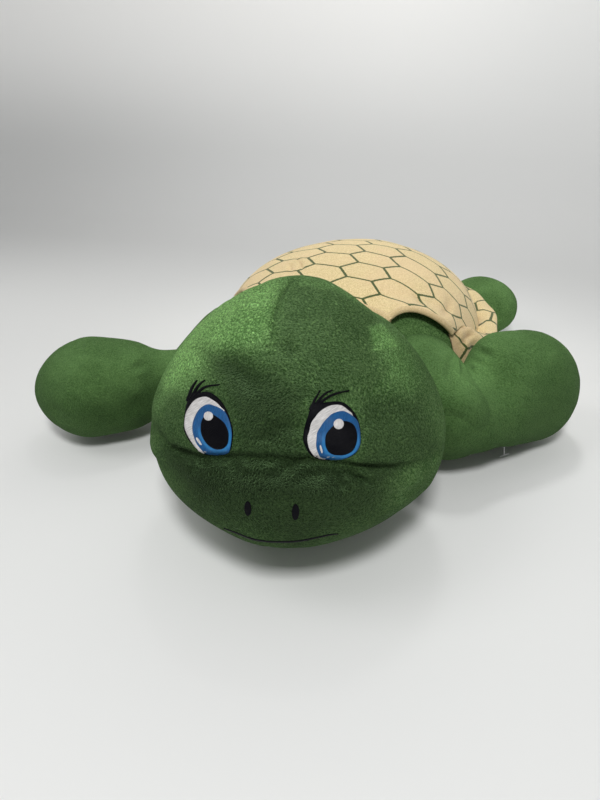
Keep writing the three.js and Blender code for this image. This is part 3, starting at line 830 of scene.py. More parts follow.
stuff(tailPiece, voxel=3 * mm, slack=0.03, cap=1.5 * mm)
dressStuffed(tailPiece, shadedLimbPlush, "tail", 0.8)
print("limbs stuffed")

# torso: a pillow with a flat belly
torso = {"halfWidth": 114 * mm, "front": 120 * mm, "back": 140 * mm, "seamHeight": 52 * mm,
         "domeHeight": 79 * mm, "bellyDepth": 70 * mm, "fullness": 0.86, "widerBehind": 0.04,
         "held": 3 * mm, "flat": 1.5 * mm}
turned = np.array(Matrix.Rotation(math.radians(bodyTurn), 3, "Z"))


def torsoPlace(d, grow=0.0, turn=True):
    x, y, z = d.T
    up = np.sign(z) * np.abs(z) ** torso["fullness"]
    height = np.where(z > 0, torso["domeHeight"], torso["bellyDepth"]) + grow
    length = np.where(y > 0, torso["back"], torso["front"]) + grow
    points = np.stack([
        (torso["halfWidth"] + grow) * x * (1 + torso["widerBehind"] * y), length * y,
        np.maximum(-grow, torso["seamHeight"] + height * up)], axis=1)
    return points @ turned.T if turn else points


torsoSkin = roundForm("torso", torsoPlace)
stuff(torsoSkin, voxel=6 * mm, slack=0.02, cap=2 * mm,
      hold=lambda points: (points[:, 2] < torso["held"]) * 1.0)
flat = pointsOf(torsoSkin)
flat[:, 2] = np.where(flat[:, 2] < torso["flat"], 0, flat[:, 2])
setPoints(torsoSkin, flat)
dressStuffed(torsoSkin, bodyPlush, "torso", 0.8)
neck = {"radius": 38 * mm}
neckPiece = roundForm("neck", lambda d: d * neck["radius"] + np.array(joints["neck_nod"]), 48, 32)
stuff(neckPiece, slack=0.02, cap=1 * mm)
dressStuffed(neckPiece, bodyPlush, "neck", 0.8)
print("torso and neck stuffed")

# shell: a domed top panel with openings for the arms and the neck, and a padded brim under it
shell = {
    "lift": 0.6 * mm, "cloth": 2.4 * mm, "seam": 70 * mm, "around": 260, "rings": 90,
    "armhole": (96 * mm, -68 * mm, 66 * mm), "neckhole": (0, -118 * mm, 72 * mm), "neckRadius": 62 * mm,
    "corner": {"start": 4, "spread": 16, "rise": 18 * mm},
    "mouthLift": {"left": 7 * mm, "right": 0}, "mouthReach": 20 * mm,
    "mouthFrom": 78 * mm, "mouthFull": 22 * mm, "edgeReach": 6 * mm, "pole": 0.004, "evenOver": 6,
    "tilt": 0.55, "flatTo": 40 * mm, "rounds": 8,
    "bare": (6 * mm, 2 * mm), "rumples": [(0.9 * mm, 0.05, 3), (0.35 * mm, 0.018, 8)],
    "reach": {
        "left": [
            (-60, 51), (-20, 44), (5, 36), (20, 34), (40, 35), (53, 35.5), (66, 36.5), (76, 39), (85, 43),
            (93, 48), (103, 53), (118, 57), (140, 58), (180, 54),
        ],
        "right": [(-60, 51), (0, 47), (40, 44), (80, 43), (110, 47), (150, 51), (180, 51)],
    },
}
armholes = {side: turned @ (np.array(shell["armhole"]) * [sign, 1, 1]) for side, sign in sides.items()}
neckhole = np.array(shell["neckhole"])


# how far an armhole's edge lies from its middle, in each direction
def armholeReach(turn, side):
    angles, reaches = np.array(shell["reach"][side]).T
    every = np.arange(-180, 180)
    drawn = np.interp(every, angles, reaches, period=360)
    over = range(-shell["evenOver"], shell["evenOver"] + 1)
    for _ in range(3):
        drawn = sum(np.roll(drawn, shift) for shift in over) / len(over)
    return np.interp(turn, every, drawn, period=360) * mm


openings = ["left", "right", "neck"]
height = shell["lift"] + shell["cloth"] / 2


# directions of an armhole's own plane: back, up and out
def armholeAxes(side):
    out = armholes[side] * [1, 1, 0] / np.linalg.norm(armholes[side][:2])
    back = np.array([-out[1], out[0], 0]) * sides[side]
    axis = (out + [0, 0, shell["tilt"]]) / math.hypot(1, shell["tilt"])
    up = np.array([0, 0, 1]) - axis[2] * axis
    return np.array([back, up / np.linalg.norm(up), axis])


def openingGap(points, opening):
    if opening == "neck":
        return farFrom(points, neckhole) - shell["neckRadius"]
    x, y, deep = armholeAxes(opening) @ (points - armholes[opening]).T
    far = np.maximum(0, np.abs(deep) - shell["flatTo"])
    return np.sqrt(x ** 2 + y ** 2 + far ** 2) - armholeReach(np.degrees(np.arctan2(y, x)), opening)


def ontoEdge(points, opening):
    if opening == "neck":
        out = points - neckhole
        return neckhole + out * (shell["neckRadius"] / np.linalg.norm(out, axis=1))[:, None]
    axes = armholeAxes(opening)
    local = (points - armholes[opening]) @ axes.T
    turn = np.degrees(np.arctan2(local[:, 1], local[:, 0]))
    local[:, :2] *= (armholeReach(turn, opening) / np.hypot(local[:, 0], local[:, 1]))[:, None]
    return armholes[opening] + local @ axes


def ontoDome(points):
    local = points @ turned
    length = np.where(local[:, 1] > 0, torso["back"], torso["front"]) + height
    wider = 1 + torso["widerBehind"] * local[:, 1] / length
    up = np.maximum(0, (local[:, 2] - torso["seamHeight"]) / (torso["domeHeight"] + height))
    d = np.stack([local[:, 0] / (torso["halfWidth"] + height) / wider, local[:, 1] / length,
                  up ** (1 / torso["fullness"])], axis=1)
    return torsoPlace(unit(d), height)


# the seam between the top panel and the brim climbs at the left front corner
def seamAt(around):
    around = (np.asarray(around) + math.pi) % (2 * math.pi) - math.pi
    corner = ease((shell["corner"]["start"] - np.degrees(around)) / shell["corner"]["spread"])
    return shell["seam"] + shell["corner"]["rise"] * corner * (around > -math.pi / 2)


def domePoints(rise, around):
    level = np.sqrt(np.maximum(0, 1 - rise ** 2))
    return torsoPlace(np.stack([level * np.cos(around), level * np.sin(around), rise], axis=1), height)


def buildTop():
    around = np.linspace(0, 2 * math.pi, shell["around"], endpoint=False)
    dome = torso["domeHeight"] + height
    seamRise = ((seamAt(around) - torso["seamHeight"]) / dome) ** (1 / torso["fullness"])
    shares = np.linspace(0, 1, shell["rings"])[:, None]
    rise = np.sin((math.pi / 2 - shell["pole"]) * (1 - shares) + np.arcsin(seamRise) * shares).ravel()
    around = np.tile(around, shell["rings"])
    points = domePoints(rise, around)
    gaps = np.array([openingGap(points, opening) for opening in openings])
    keep = gaps.min(axis=0) > 0
    nearest = gaps.argmin(axis=0)
    grid = keep.reshape(shell["rings"], shell["around"])
    inner = grid.copy()
    for down in (-1, 0, 1):
        for over in (-1, 0, 1):
            inner[1:-1] &= np.roll(grid, (down, over), axis=(0, 1))[1:-1]
    border = keep & ~inner.ravel()
    for i, opening in enumerate(openings):      # the last points before an opening slide onto its edge
        mine = border & (nearest == i) & (gaps[i] < shell["edgeReach"])
        for _ in range(shell["rounds"]):
            points[mine] = ontoDome(ontoEdge(points[mine], opening))
    piece = sheetForm("shellTop", points.reshape(shell["rings"], shell["around"], 3), closedAcross=True)
    arc = np.arccos(np.clip(rise, -1, 1)) * (torso["halfWidth"] + torso["back"]) / 2
    laid = np.stack([arc * np.cos(around), arc * np.sin(around), np.zeros(len(rise))], axis=1)
    paint(piece, "print", laid)
    editMesh(piece, lambda: bpy.ops.mesh.select_all(action="DESELECT"))
    piece.data.vertices.foreach_set("select", ~keep)
    bpy.ops.object.mode_set(mode="EDIT")
    bpy.ops.mesh.delete(type="VERT")
    bpy.ops.object.mode_set(mode="OBJECT")
    editMesh(piece, turnOutwards)
    return piece


def coverShape(points, outwards):
    lift = np.zeros(len(points))
    for side in armholes:
        gap = openingGap(points, side)
        high = ease((points[:, 2] - shell["mouthFrom"]) / shell["mouthFull"])
        lift += shell["mouthLift"][side] * ease(1 - gap / shell["mouthReach"]) * high
    for depth, size, seed in shell["rumples"]:
        lift += depth * rumple(points, size, seed)
    return points + outwards * lift[:, None]


# where corners of the printed lattice lie in the photograph, counted along its edges from the first
printPins = {
    (361, 263): (0, 0), (352, 254): (-1, 0), (387, 268): (1, 1), (341.6, 267.6): (0, -1),
    (391.6, 277): (2, 1), (377, 280.6): (2, 0), (348, 278): (1, -1), (365, 251.4): (-1, 1),
    (358, 246): (-2, 1), (332, 253.4): (-2, -1), (397, 265): (1, 2), (392.4, 257.4): (0, 2),
    (402, 255): (0, 3), (379.4, 290.4): (3, 0), (317.6, 262): (-1, -2), (311.5, 259): (-2, -2),
    (409, 303): (4, 1), (426, 296): (3, 2), (427, 309): (4, 2), (435, 300.4): (3, 3),
    (430, 284.4): (2, 3), (445, 290): (2, 4), (437, 274.4): (1, 4), (459.4, 305): (3, 5),
    (468, 308.4): (3, 6),
}
printed = {"cell": 38 * mm, "reach": 20 * mm, "calm": 0.15}


def pinPrint(piece):
    surface, laid = surfaceOf(piece), readVectors(piece.data.attributes["print"].data, "vector")[:, :2]
    edge = printed["cell"] / math.sqrt(3)
    wanted, found = [], []
    for pixel, (down, over) in printPins.items():
        index = surface.ray_cast(*pixelRay(*pixel))[2]
        if index is not None:
            found.append(laid[list(piece.data.polygons[index].vertices)].mean(0))
            wanted.append([edge * math.cos(math.pi / 6) * over, edge * (1 - down + 0.5 * over)])
    found, wanted = np.array(found), np.array(wanted)
    flat = np.linalg.lstsq(np.c_[found, np.ones(len(found))], wanted, rcond=None)[0]
    spread = np.c_[laid, np.ones(len(laid))] @ flat
    left = wanted - np.c_[found, np.ones(len(found))] @ flat
    pull = np.exp(-(((laid[:, None] - found[None]) ** 2).sum(2)) / (2 * printed["reach"] ** 2))
    spread += (pull @ left) / (pull.sum(1) + printed["calm"])[:, None]
    paint(piece, "print", np.c_[spread, np.zeros(len(spread))])


def tuck(piece, folds, fade):
    for pixels, width, depth in folds:
        press(piece, onPhoto(surfaceOf(piece), pixels), width, depth, lip=0.4, fade=fade)


shellTop = buildTop()
setPoints(shellTop, coverShape(pointsOf(shellTop), normalsOf(shellTop)))
pinPrint(shellTop)
topHeights = pointsOf(shellTop)[:, 2]
paint(shellTop, "plain", ease((shell["seam"] + shell["bare"][0] - topHeights) / shell["bare"][1]))
paint(shellTop, "fold", np.zeros(len(topHeights)))
coverTucks = [
    ([(295, 258), (301, 264), (303, 273)], 1.6 * mm, 1.6 * mm),
    ([(287, 262), (292, 268), (290, 276)], 2 * mm, 1.0 * mm),
    ([(421, 309), (417, 300), (410, 292)], 3 * mm, 1.0 * mm),
    ([(440, 320), (447, 308), (449, 294)], 3.5 * mm, 1.2 * mm),
]
tuck(shellTop, coverTucks, 0.4)
finishWith(shellTop, "SOLIDIFY", thickness=shell["cloth"], offset=0, use_rim=True)
dress(shellTop, topPrint, "shell_cloth", "torso", "shell_top")
print("shell top laid:", len(shellTop.data.polygons), "faces")

brim = {
    "flare": 15 * mm, "lowest": 34 * mm, "widest": 59 * mm, "inner": 0.8 * mm, "rise": 0.65, "climb": 0.6,
    "from": -20.5, "to": 194, "count": 260, "section": 28, "tucked": 5 * mm, "tipShare": 0.45,
    "tip": 7, "bunch": 34, "pleats": {"ends": (1.6 * mm, 46), "all": (0.8 * mm, 17, 1.3)},
    "start": {"left": -52 * mm, "right": -10 * mm}, "end": {"left": 10 * mm, "right": 45 * mm},
    "corner": (100 * mm, -55 * mm, 80 * mm), "cornerSpread": 26 * mm, "cornerShade": 0.45,
    "underSeam": 0.4 * mm, "riseFrom": 0.7, "riseOver": 1.2, "swell": 0.6, "sewnOut": 0.6 * mm,
}
brimFolds = [
    ([(463, 337), (465, 329), (470, 324), (477, 325), (483, 331), (487, 339)], 1.6 * mm, 2.2 * mm),
    ([(461, 349), (464, 341), (469, 335), (476, 332)], 2.0 * mm, 2.2 * mm),
    ([(466, 316), (474, 319), (481, 325), (486, 332)], 1.5 * mm, 1.4 * mm),
    ([(452, 334), (458, 335), (464, 335)], 1.3 * mm, 1.0 * mm),
]


# the torso's own outline at these heights, in the direction of this angle
def torsoRing(z, angle):
    above = z > torso["seamHeight"]
    tall = np.where(above, torso["domeHeight"], torso["bellyDepth"])
    up = z - torso["seamHeight"]
    rise = np.sign(up) * (np.abs(up) / tall) ** (1 / torso["fullness"])
    level = np.sqrt(np.maximum(0, 1 - rise ** 2))
    d = np.stack([level * math.cos(angle), level * math.sin(angle), rise], axis=1)
    return torsoPlace(d, brim["inner"], turn=False)


def buildBrim():
    section, pleats = brim["section"], brim["pleats"]
    angles = np.radians(np.linspace(brim["from"], brim["to"], brim["count"]))
    outer = np.linspace(0, 1, section)
    rings, laid = [], []
    arc = 0.0
    for angle in angles:
        seam = float(seamAt(angle))
        widest = brim["widest"] + brim["climb"] * (seam - shell["seam"])
        side = "left" if math.cos(angle) > 0 else "right"
        z = brim["lowest"] + (seam - brim["underSeam"] - brim["lowest"]) * outer
        inner = torsoRing(z, angle)
        rise = brim["rise"] * float(ease((math.cos(angle) + brim["riseFrom"]) / brim["riseOver"]))
        out = np.array([math.cos(angle), math.sin(angle), rise])
        top = seam + brim["tucked"]
        full = np.where(z < widest, ease((z - brim["lowest"]) / (widest - brim["lowest"])),
                        ease((top - z) / (top - widest)))
        ends = ease((inner[:, 1] - brim["start"][side]) / (brim["end"][side] - brim["start"][side]))
        fromEnd = min(angle - angles[0], angles[-1] - angle)
        tip = ease(fromEnd / math.radians(brim["tip"]))
        bunch = 1 - ease(fromEnd / math.radians(brim["bunch"]))
        high, often = pleats["ends"]
        pleat = high * math.cos(angle * often) * bunch
        high, often, shift = pleats["all"]
        pleat += high * math.sin(angle * often + shift)
        thinned = brim["tipShare"] + (1 - brim["tipShare"]) * tip
        proud = (shell["cloth"] + brim["flare"] * full * ends) * thinned
        swell = np.sin(outer * math.pi) ** brim["swell"]
        outside = inner + out * (proud + pleat * swell)[:, None]
        outside[[0, -1]] = inner[[0, -1]] + out * brim["sewnOut"]
        if rings:
            arc += np.linalg.norm(outside[section // 2] - lastMiddle)
        lastMiddle = outside[section // 2]
        down = lengthAlong(outside)
        both = np.concatenate([down, down[::-1]])
        rings.append(np.vstack([inner, outside[::-1]]))
        laid.append(np.stack([np.full(2 * section, arc), both, np.zeros(2 * section)], axis=1))
    piece = sheetForm("shellBrim", np.array(rings) @ turned.T, closedAcross=True)
    paint(piece, "print", np.vstack(laid))
    closeEnds(piece)
    return piece


shellBrim = buildBrim()
corner = hill(farFrom(pointsOf(shellBrim), brim["corner"]), 0, brim["cornerSpread"])
paint(shellBrim, "fold", brim["cornerShade"] * corner)
tuck(shellBrim, brimFolds, 0.3)
dress(shellBrim, brimPrint, "shell_cloth", "torso", "shell_brim", padding=0.6)
print("brim sewn")

# hems: the edge of the cover turned over and stitched down
hem = {
    "points": 16, "wide": 2.9 * mm, "shift": 1.7 * mm, "thick": 2.3 * mm, "wave": 0.06,
    "waveLength": 9 * mm, "step": 1.5 * mm, "margin": 1 * mm, "shade": 0.3, "underShade": 0.6,
    "underFrom": 0.35, "drawn": 720, "start": 50 * mm, "neckLean": 0.3, "rounds": 16,
    "fewest": 24, "lineCalm": 12, "liftCalm": 4,
}


def hemLine(opening):
    angle = np.linspace(0, 2 * math.pi, hem["drawn"], endpoint=False)[:, None]
    if opening == "neck":
        lean = np.full_like(angle, hem["neckLean"])
        points = neckhole + hem["start"] * np.hstack([np.cos(angle), np.sin(angle), lean])
    else:
        back, up = armholeAxes(opening)[:2]
        points = armholes[opening] + hem["start"] * (np.cos(angle) * back + np.sin(angle) * up)
    for _ in range(hem["rounds"]):
        points = ontoDome(ontoEdge(points, opening))
    return points


# evens a line out by its neighbours, with its ends kept
def calmed(rows, rounds):
    for _ in range(rounds):
        rows[1:-1] = (rows[:-2] + 2 * rows[1:-1] + rows[2:]) / 4
    return rows


def buildHem(name, opening, node):
    centre = neckhole if opening == "neck" else armholes[opening]
    line = hemLine(opening)
    local = line @ turned
    around = np.arctan2(local[:, 1] / torso["front"], local[:, 0] / torso["halfWidth"])
    fine = line[:, 2] > seamAt(around) - hem["margin"]
    for other in openings:
        if other != opening:
            fine &= openingGap(line, other) > -hem["margin"]
    runs = np.nonzero(fine)[0]
    breaks = np.nonzero(np.diff(runs) > 1)[0]
    if len(breaks):
        runs = np.concatenate([runs[breaks[-1] + 1:], runs[:breaks[-1] + 1]])
    line = line[runs]
    length = lengthAlong(line)
    even = np.linspace(0, length[-1], max(hem["fewest"], int(length[-1] / hem["step"])))
    line = calmed(spacedOut(line, length, even), hem["lineCalm"])
    local = line @ turned - [0, 0, torso["seamHeight"]]
    outwards = local / np.array([torso["halfWidth"] ** 2, torso["front"] ** 2, torso["domeHeight"] ** 2])
    outwards = unit(outwards) @ turned.T
    across = np.cross(outwards, unit(np.gradient(line, axis=0)))
    across *= np.sign(((line - centre) * across).sum(1))[:, None]
    lifted, across = [calmed(rows, hem["liftCalm"]) for rows in (coverShape(line, outwards), across)]
    grid = np.zeros((len(line), hem["points"], 3))
    turns = np.arange(hem["points"]) * 2 * math.pi / hem["points"]
    for k, angle in enumerate(turns):
        wave = 1 + hem["wave"] * np.sin(even / hem["waveLength"] + math.sin(angle))
        grid[:, k] = (lifted + across * ((hem["wide"] * math.cos(angle) + hem["shift"]) * wave)[:, None]
                      + outwards * (hem["thick"] * math.sin(angle) * wave)[:, None])
    piece = sheetForm(name, grid, closedAcross=True)
    paint(piece, "plain", np.ones(len(piece.data.vertices)))
    closeEnds(piece)
    under = ease(hem["underFrom"] - np.sin(turns))
    paint(piece, "fold", np.tile(hem["shade"] + hem["underShade"] * under, len(line)))
    dress(piece, topPrint, "hem_cloth", "torso", node)
    return piece


hems = [buildHem("armholeHem_left", "left", "armhole_hem_left"),
        buildHem("armholeHem_right", "right", "armhole_hem_right"),
        buildHem("neckHem", "neck", "neck_hem")]
print("hems turned")

# embroidery: each area of satin stitch is outlined as in the photograph and laid on the head
eyes = {
    "right": {
        "outline": [
            (184, 426), (185.1, 432.2), (189.6, 440.4), (195.1, 446.9), (200.5, 451.6), (206.9, 454.9),
            (215, 455.6), (223.3, 455), (229.9, 452.4), (232.8, 441.3), (233.1, 430.4), (230.9, 421),
            (227.1, 410.4), (220.8, 400.4), (213, 393.5), (206, 391.3), (199.6, 392.6), (192.4, 394),
            (187.8, 401.5), (185.5, 411),
        ],
        "white": [
            (185.1, 424.9), (186.9, 432.2), (191, 439.9), (196.9, 448.5), (203.3, 452.9), (210.5, 454),
            (222, 452), (226, 430), (225.5, 411.5), (223.3, 408.5), (217.8, 402.6), (212.4, 399),
            (206.9, 396.5), (199.6, 397.8), (194.2, 401.3), (189.6, 407.6), (186.5, 414),
        ],
        "iris": [
            (193.3, 426.7), (193.7, 432.2), (195.5, 438.5), (198.7, 445.8), (204.2, 451.5),
            (210.5, 454.2), (217.8, 454.9), (225.1, 454.2), (230.1, 451.3), (232.2, 441.3),
            (232.4, 430.4), (229.8, 419.5), (225.5, 411.3), (219.6, 407.2), (216, 405.8), (210.5, 404),
            (205.1, 405.4), (200.1, 409.5), (196.5, 415.4), (194.2, 421.3),
        ],
        "pupil": [
            (201.9, 428.5), (202.4, 423.1), (204.2, 418.5), (206.9, 415.8), (210.5, 413.8),
            (214.2, 414.4), (219.6, 417.6), (225.1, 422.2), (228.3, 427.6), (230.1, 434), (229.6, 442.2),
            (227.4, 446.7), (223.3, 449), (216.9, 449), (211.5, 446.7), (206.9, 442.2), (203.7, 436.7),
            (202.2, 432.2),
        ],
        "highlight": {"at": (210.4, 416.7), "half": (4.5, 4.5), "lean": 0},
        "glint": {"at": (200.6, 440.8), "half": (0.95, 4.6), "lean": -34},
        "lashes": [[(187.8, 401.3), (189.6, 395.8), (192.8, 387.2), (197.4, 380.4)],
                   [(189.6, 400.4), (193.3, 395), (197, 388.5), (200.5, 384), (205.1, 380.4)],
                   [(191.5, 401.3), (195.5, 396.2), (200.5, 390.7), (207, 386.6), (219.6, 384.7)]],
    },
    "left": {
        "outline": [
            (303, 440.2), (303.3, 432.9), (304.8, 425.6), (307.1, 418.4), (308.9, 412), (310.3, 406),
            (313, 402.5), (319.8, 402.8), (326.2, 402.2), (332.5, 401.3), (338.9, 401.3), (344.7, 403),
            (350.3, 407.6), (354.9, 413.1), (358.1, 420), (360, 427.5), (360.7, 434.7), (360.5, 443.8),
            (357.3, 451.3), (350.9, 456.5), (341.6, 459.2), (329.8, 460.1), (321.6, 460.1), (315.1, 458),
            (309.6, 454.2), (306, 448.6),
        ],
        "white": [
            (307.1, 436.5), (308.9, 431.1), (310.7, 422.9), (314.4, 417.5), (318.9, 412), (324.4, 407.9),
            (330.7, 405.2), (337.1, 404.5), (342.5, 405.8), (348, 410.2), (352.5, 415.2), (352, 430),
            (345, 452), (330, 458), (322.5, 459.2), (317.1, 457.6), (312.5, 454.5), (308.9, 449.3),
            (307.1, 442),
        ],
        "iris": [
            (315.7, 440.2), (316.6, 432.9), (319.4, 427.5), (322.5, 422.5), (326.2, 418.4),
            (330.7, 414.3), (336.2, 411.8), (342.5, 410.9), (347.1, 412.5), (352.5, 416.1),
            (357.1, 421.1), (358.9, 427.5), (360, 434.7), (359.6, 444.7), (355.9, 452), (348.9, 456.8),
            (338.9, 459.1), (328.9, 459.6), (320.7, 457.2), (316.6, 451.1), (315.5, 445.6),
        ],
        "pupil": [
            (324.4, 440.2), (325.7, 433.8), (328.9, 429.3), (332.5, 425.6), (337.1, 422.3),
            (342.5, 421.1), (348, 422), (352.5, 424.7), (355.7, 430.2), (356.6, 437.5), (355.3, 444.7),
            (351.6, 451.1), (345.3, 454.5), (336.2, 455), (328.9, 452.9), (325.3, 447.5),
        ],
        "highlight": {"at": (337.8, 424.5), "half": (5, 5), "lean": 0},
        "glint": {"at": (321, 448.6), "half": (1.05, 4.2), "lean": -14},
        "lashes": [[(309.8, 410), (312.1, 405.2), (314.4, 400.2), (317.1, 395.6), (319.8, 390.6)],
                   [(311.6, 411), (316, 404.5), (321.2, 397.3), (326.2, 392.9), (332.1, 390.2)],
                   [(314, 409), (318.9, 404.2), (324.4, 399.3), (331.6, 395.2), (340.7, 392.3),
                    (348.9, 390.6)]],
    },
}
lash = {"half": 1.45, "tip": 0.5, "height": 0.8 * mm, "points": 30}
nostrils = {
    "right": {"at": (248, 508.2), "half": (3.4, 7.2), "lean": -4},
    "left": {"at": (295.5, 511.7), "half": (3.7, 7.8), "lean": 3},
}
mouth = {"pixels": [
    (224, 528), (236, 532.4), (250, 538.0), (264, 540.8), (280, 541.6), (298, 540.8), (316, 537.4),
    (330, 534.4), (338, 533.6),
], "half": 0.65, "thinner": 0.5, "height": 0.5 * mm, "points": 70}
stitching = {
    "perPixel": 0.9 * mm, "thick": 0.9 * mm, "domed": 0.12, "sunk": 0.3 * mm, "headAt": 0.38,
    "flatTo": 0.985, "rings": 14, "own": 0.4, "outline": 0.85 * mm, "nostril": 0.7 * mm,
    "downFrom": 0.995, "strand": [-1, -0.9, -0.5, 0, 0.5, 0.9, 1], "strandAngle": 30,
    "rim": {"at": 1.2, "spread": 1.6, "below": 10, "soft": 16},
}


def closedLine(pixels, count=96):
    pixels = np.asarray(pixels, float)
    wrapped = np.vstack([pixels[-3:], pixels, pixels[:3]])
    line = smoothLine(wrapped, 40 * len(wrapped))
    share = np.linspace(0, len(wrapped) - 1, len(line))
    line = line[(share >= 3) & (share <= len(pixels) + 3)]
    length = lengthAlong(line)
    return spacedOut(line, length, np.linspace(0, length[-1], count, endpoint=False))


def turnedBy(x, y, degrees):
    turn = math.radians(degrees)
    return x * math.cos(turn) - y * math.sin(turn), x * math.sin(turn) + y * math.cos(turn)


def ovalLine(oval, count=48):
    angle = np.linspace(0, 2 * math.pi, count, endpoint=False)
    x, y = turnedBy(oval["half"][0] * np.cos(angle), oval["half"][1] * np.sin(angle), oval["lean"])
    return np.array(oval["at"]) + np.stack([x, y], axis=1)


# lays a grid of photograph points on the head, as high as the thread stands, and closes it underneath
def layThread(name, flat, heights, across, rim, closedAcross):
    rows, columns = flat.shape[:2]
    hits = np.zeros((rows, columns, 3))
    normals = np.zeros((rows, columns, 3))
    for r in range(rows):
        for c in range(columns):
            start, way = pixelRay(*flat[r, c])
            hit, normal = headSurface.ray_cast(start, way)[:2]
            if hit is None:     # past the head's outline
                hit, normal = headSurface.find_nearest(start + way * stitching["headAt"])[:2]
            hits[r, c], normals[r, c] = hit, normal
    normals = unit(stitching["own"] * normals + (1 - stitching["own"]) * normals.mean((0, 1)))
    piece = sheetForm(name, hits + normals * heights[..., None], closedAcross)
    u, v = turnedBy(flat[..., 0] * stitching["perPixel"], flat[..., 1] * stitching["perPixel"], -across)
    paint(piece, "stitch", np.stack([u, v, 0 * u], axis=-1).reshape(-1, 3))
    paint(piece, "rim", rim.ravel())
    faceOutwards(piece)
    if (normalsOf(piece) @ normals.mean((0, 1))).mean() < 0:
        editMesh(piece, bpy.ops.mesh.flip_normals)
    finishWith(piece, "SOLIDIFY", thickness=stitching["thick"], offset=-1, use_rim=True)
    return piece


def crown(shares, height):
    domed = height * (1 - stitching["domed"] * shares ** 2)
    return np.where(shares < stitching["downFrom"], domed, -stitching["sunk"])


def patch(name, edge, height, across=0, rimFrom=None):
    shares = np.append(np.linspace(0, stitching["flatTo"], stitching["rings"]), 1)
    centre = edge.mean(0)
    flat = centre + (edge - centre)[None] * shares[:, None, None]
    rim = np.zeros(flat.shape[:2])
    if rimFrom is not None:
        light = stitching["rim"]
        low = ease((flat[..., 1] - rimFrom[:, 1].mean() + light["below"]) / light["soft"])
        gap = nearLine(flat.reshape(-1, 2), np.vstack([rimFrom, rimFrom[:1]]))[0].reshape(rim.shape)
        rim = hill(gap, light["at"], light["spread"]) * low
    heights = np.repeat(crown(shares, height)[:, None], len(edge), axis=1)
    return layThread(name, flat, heights, across, rim, True)


def strand(name, line, half, height):
    way = unit(np.gradient(line, axis=0))
    aside = np.stack([-way[:, 1], way[:, 0]], axis=1)
    shares = np.array(stitching["strand"])
    flat = line[None] + aside[None] * (shares[:, None] * half[None])[..., None]
    heights = np.repeat(crown(np.abs(shares), height)[:, None], len(line), axis=1)
    return layThread(name, flat, heights, stitching["strandAngle"], np.zeros(flat.shape[:2]), False)


# thread, slot, height and angle of each area of an eye
areas = {
    "white": (whiteThread, "white_thread", 1.1 * mm, 60),
    "iris": (blueThread, "blue_thread", 1.35 * mm, 15),
    "pupil": (blackThread, "black_thread", 1.6 * mm, 50),
    "highlight": (whiteThread, "white_thread", 2.0 * mm, 0),
    "glint": (whiteThread, "white_thread", 2.0 * mm, 0),
}
for side, sewn in eyes.items():
    name = "eye_" + side
    edges = {part: closedLine(sewn[part]) for part in ("outline", "white", "iris", "pupil")}
    edges.update({part: ovalLine(sewn[part]) for part in ("highlight", "glint")})
    for part, (colour, slotName, stands, across) in areas.items():
        rimFrom = edges["pupil"] if part == "iris" else None
        area = patch(f"{name}_{part}", edges[part], stands, across, rimFrom)
        dress(area, colour, slotName, "head", f"{name}_{part}")
    outline = [patch(name + "_outline", edges["outline"], stitching["outline"])]
    for pixels in sewn["lashes"]:
        half = lash["half"] + (lash["tip"] - lash["half"]) * np.linspace(0, 1, lash["points"]) ** 2
        outline.append(strand(name + "_lash", smoothLine(pixels, lash["points"]), half, lash["height"]))
    dress(joined(*outline), blackThread, "black_thread", "head", name + "_outline")
    nostril = patch("nostril_" + side, ovalLine(nostrils[side]), stitching["nostril"], across=90)
    dress(nostril, blackThread, "black_thread", "head", "nostril_" + side)

smile = smoothLine(mouth["pixels"], mouth["points"])
thinner = 1 - mouth["thinner"] * np.abs(np.linspace(-1, 1, mouth["points"])) ** 3
mouthPiece = strand("mouth", smile, mouth["half"] * thinner, mouth["height"])
dress(mouthPiece, blackThread, "black_thread", "head", "mouth")
print("face embroidered")

# the plastic tag fastener in the flipper's edge
fastener = {
    "bar": 9.5 * mm, "radius": 0.55 * mm, "root": (144.6 * mm, -92 * mm, 12 * mm),
    "end": (145.5 * mm, -96 * mm, 4.6 * mm), "barTurn": 35, "tilt": 0.12, "droop": 0.8 * mm, "stem": 0.8,
    "scratches": 900.0, "dull": (0.74, 0.76, 0.78), "clear": (0.9, 0.9, 0.9), "relief": 0.05 * mm,
    "sides": 10,
}
clearPlastic, plasticTree, plasticShader = newMaterial("clearPlastic", roughness=0.25, specular=0.5)
scratches = noiseOf(plasticTree, placeIn(plasticTree), fastener["scratches"])[0]
scratched = mixColour(plasticTree, scratches, fastener["dull"], fastener["clear"])
surfaced(plasticTree, plasticShader, scratched, scratches, fastener["relief"])


def rod(name, line, radius):
    along = unit(np.gradient(line, axis=0))
    side = unit(np.cross(along, [0, 0, 1]))
    up = np.cross(side, along)
    turns = np.linspace(0, 2 * math.pi, fastener["sides"], endpoint=False)[None, :, None]
    rings = line[:, None] + radius * (np.cos(turns) * side[:, None] + np.sin(turns) * up[:, None])
    piece = sheetForm(name, rings, closedAcross=True)
    closeEnds(piece)
    return piece


root, end = np.array(fastener["root"]), np.array(fastener["end"])
half = np.array([*turnedBy(1, 0, fastener["barTurn"]), fastener["tilt"]]) * fastener["bar"] / 2
middle = (root + end) / 2 - [0, 0, fastener["droop"]]
stem = rod("fastenerStem", smoothLine([root, middle, end], 12), fastener["stem"] * fastener["radius"])
bar = rod("tagFastener", smoothLine([end - half, end, end + half], 8), fastener["radius"])
dress(joined(bar, stem), clearPlastic, "clear_plastic", "flipper_left", "tag_fastener")

# floor and backdrop: one pale sheet that curves up behind the toy
stage = {"width": 5.0, "front": -2.0, "bend": 0.42, "radius": 0.3, "height": 2.2, "daylight": 0.29}


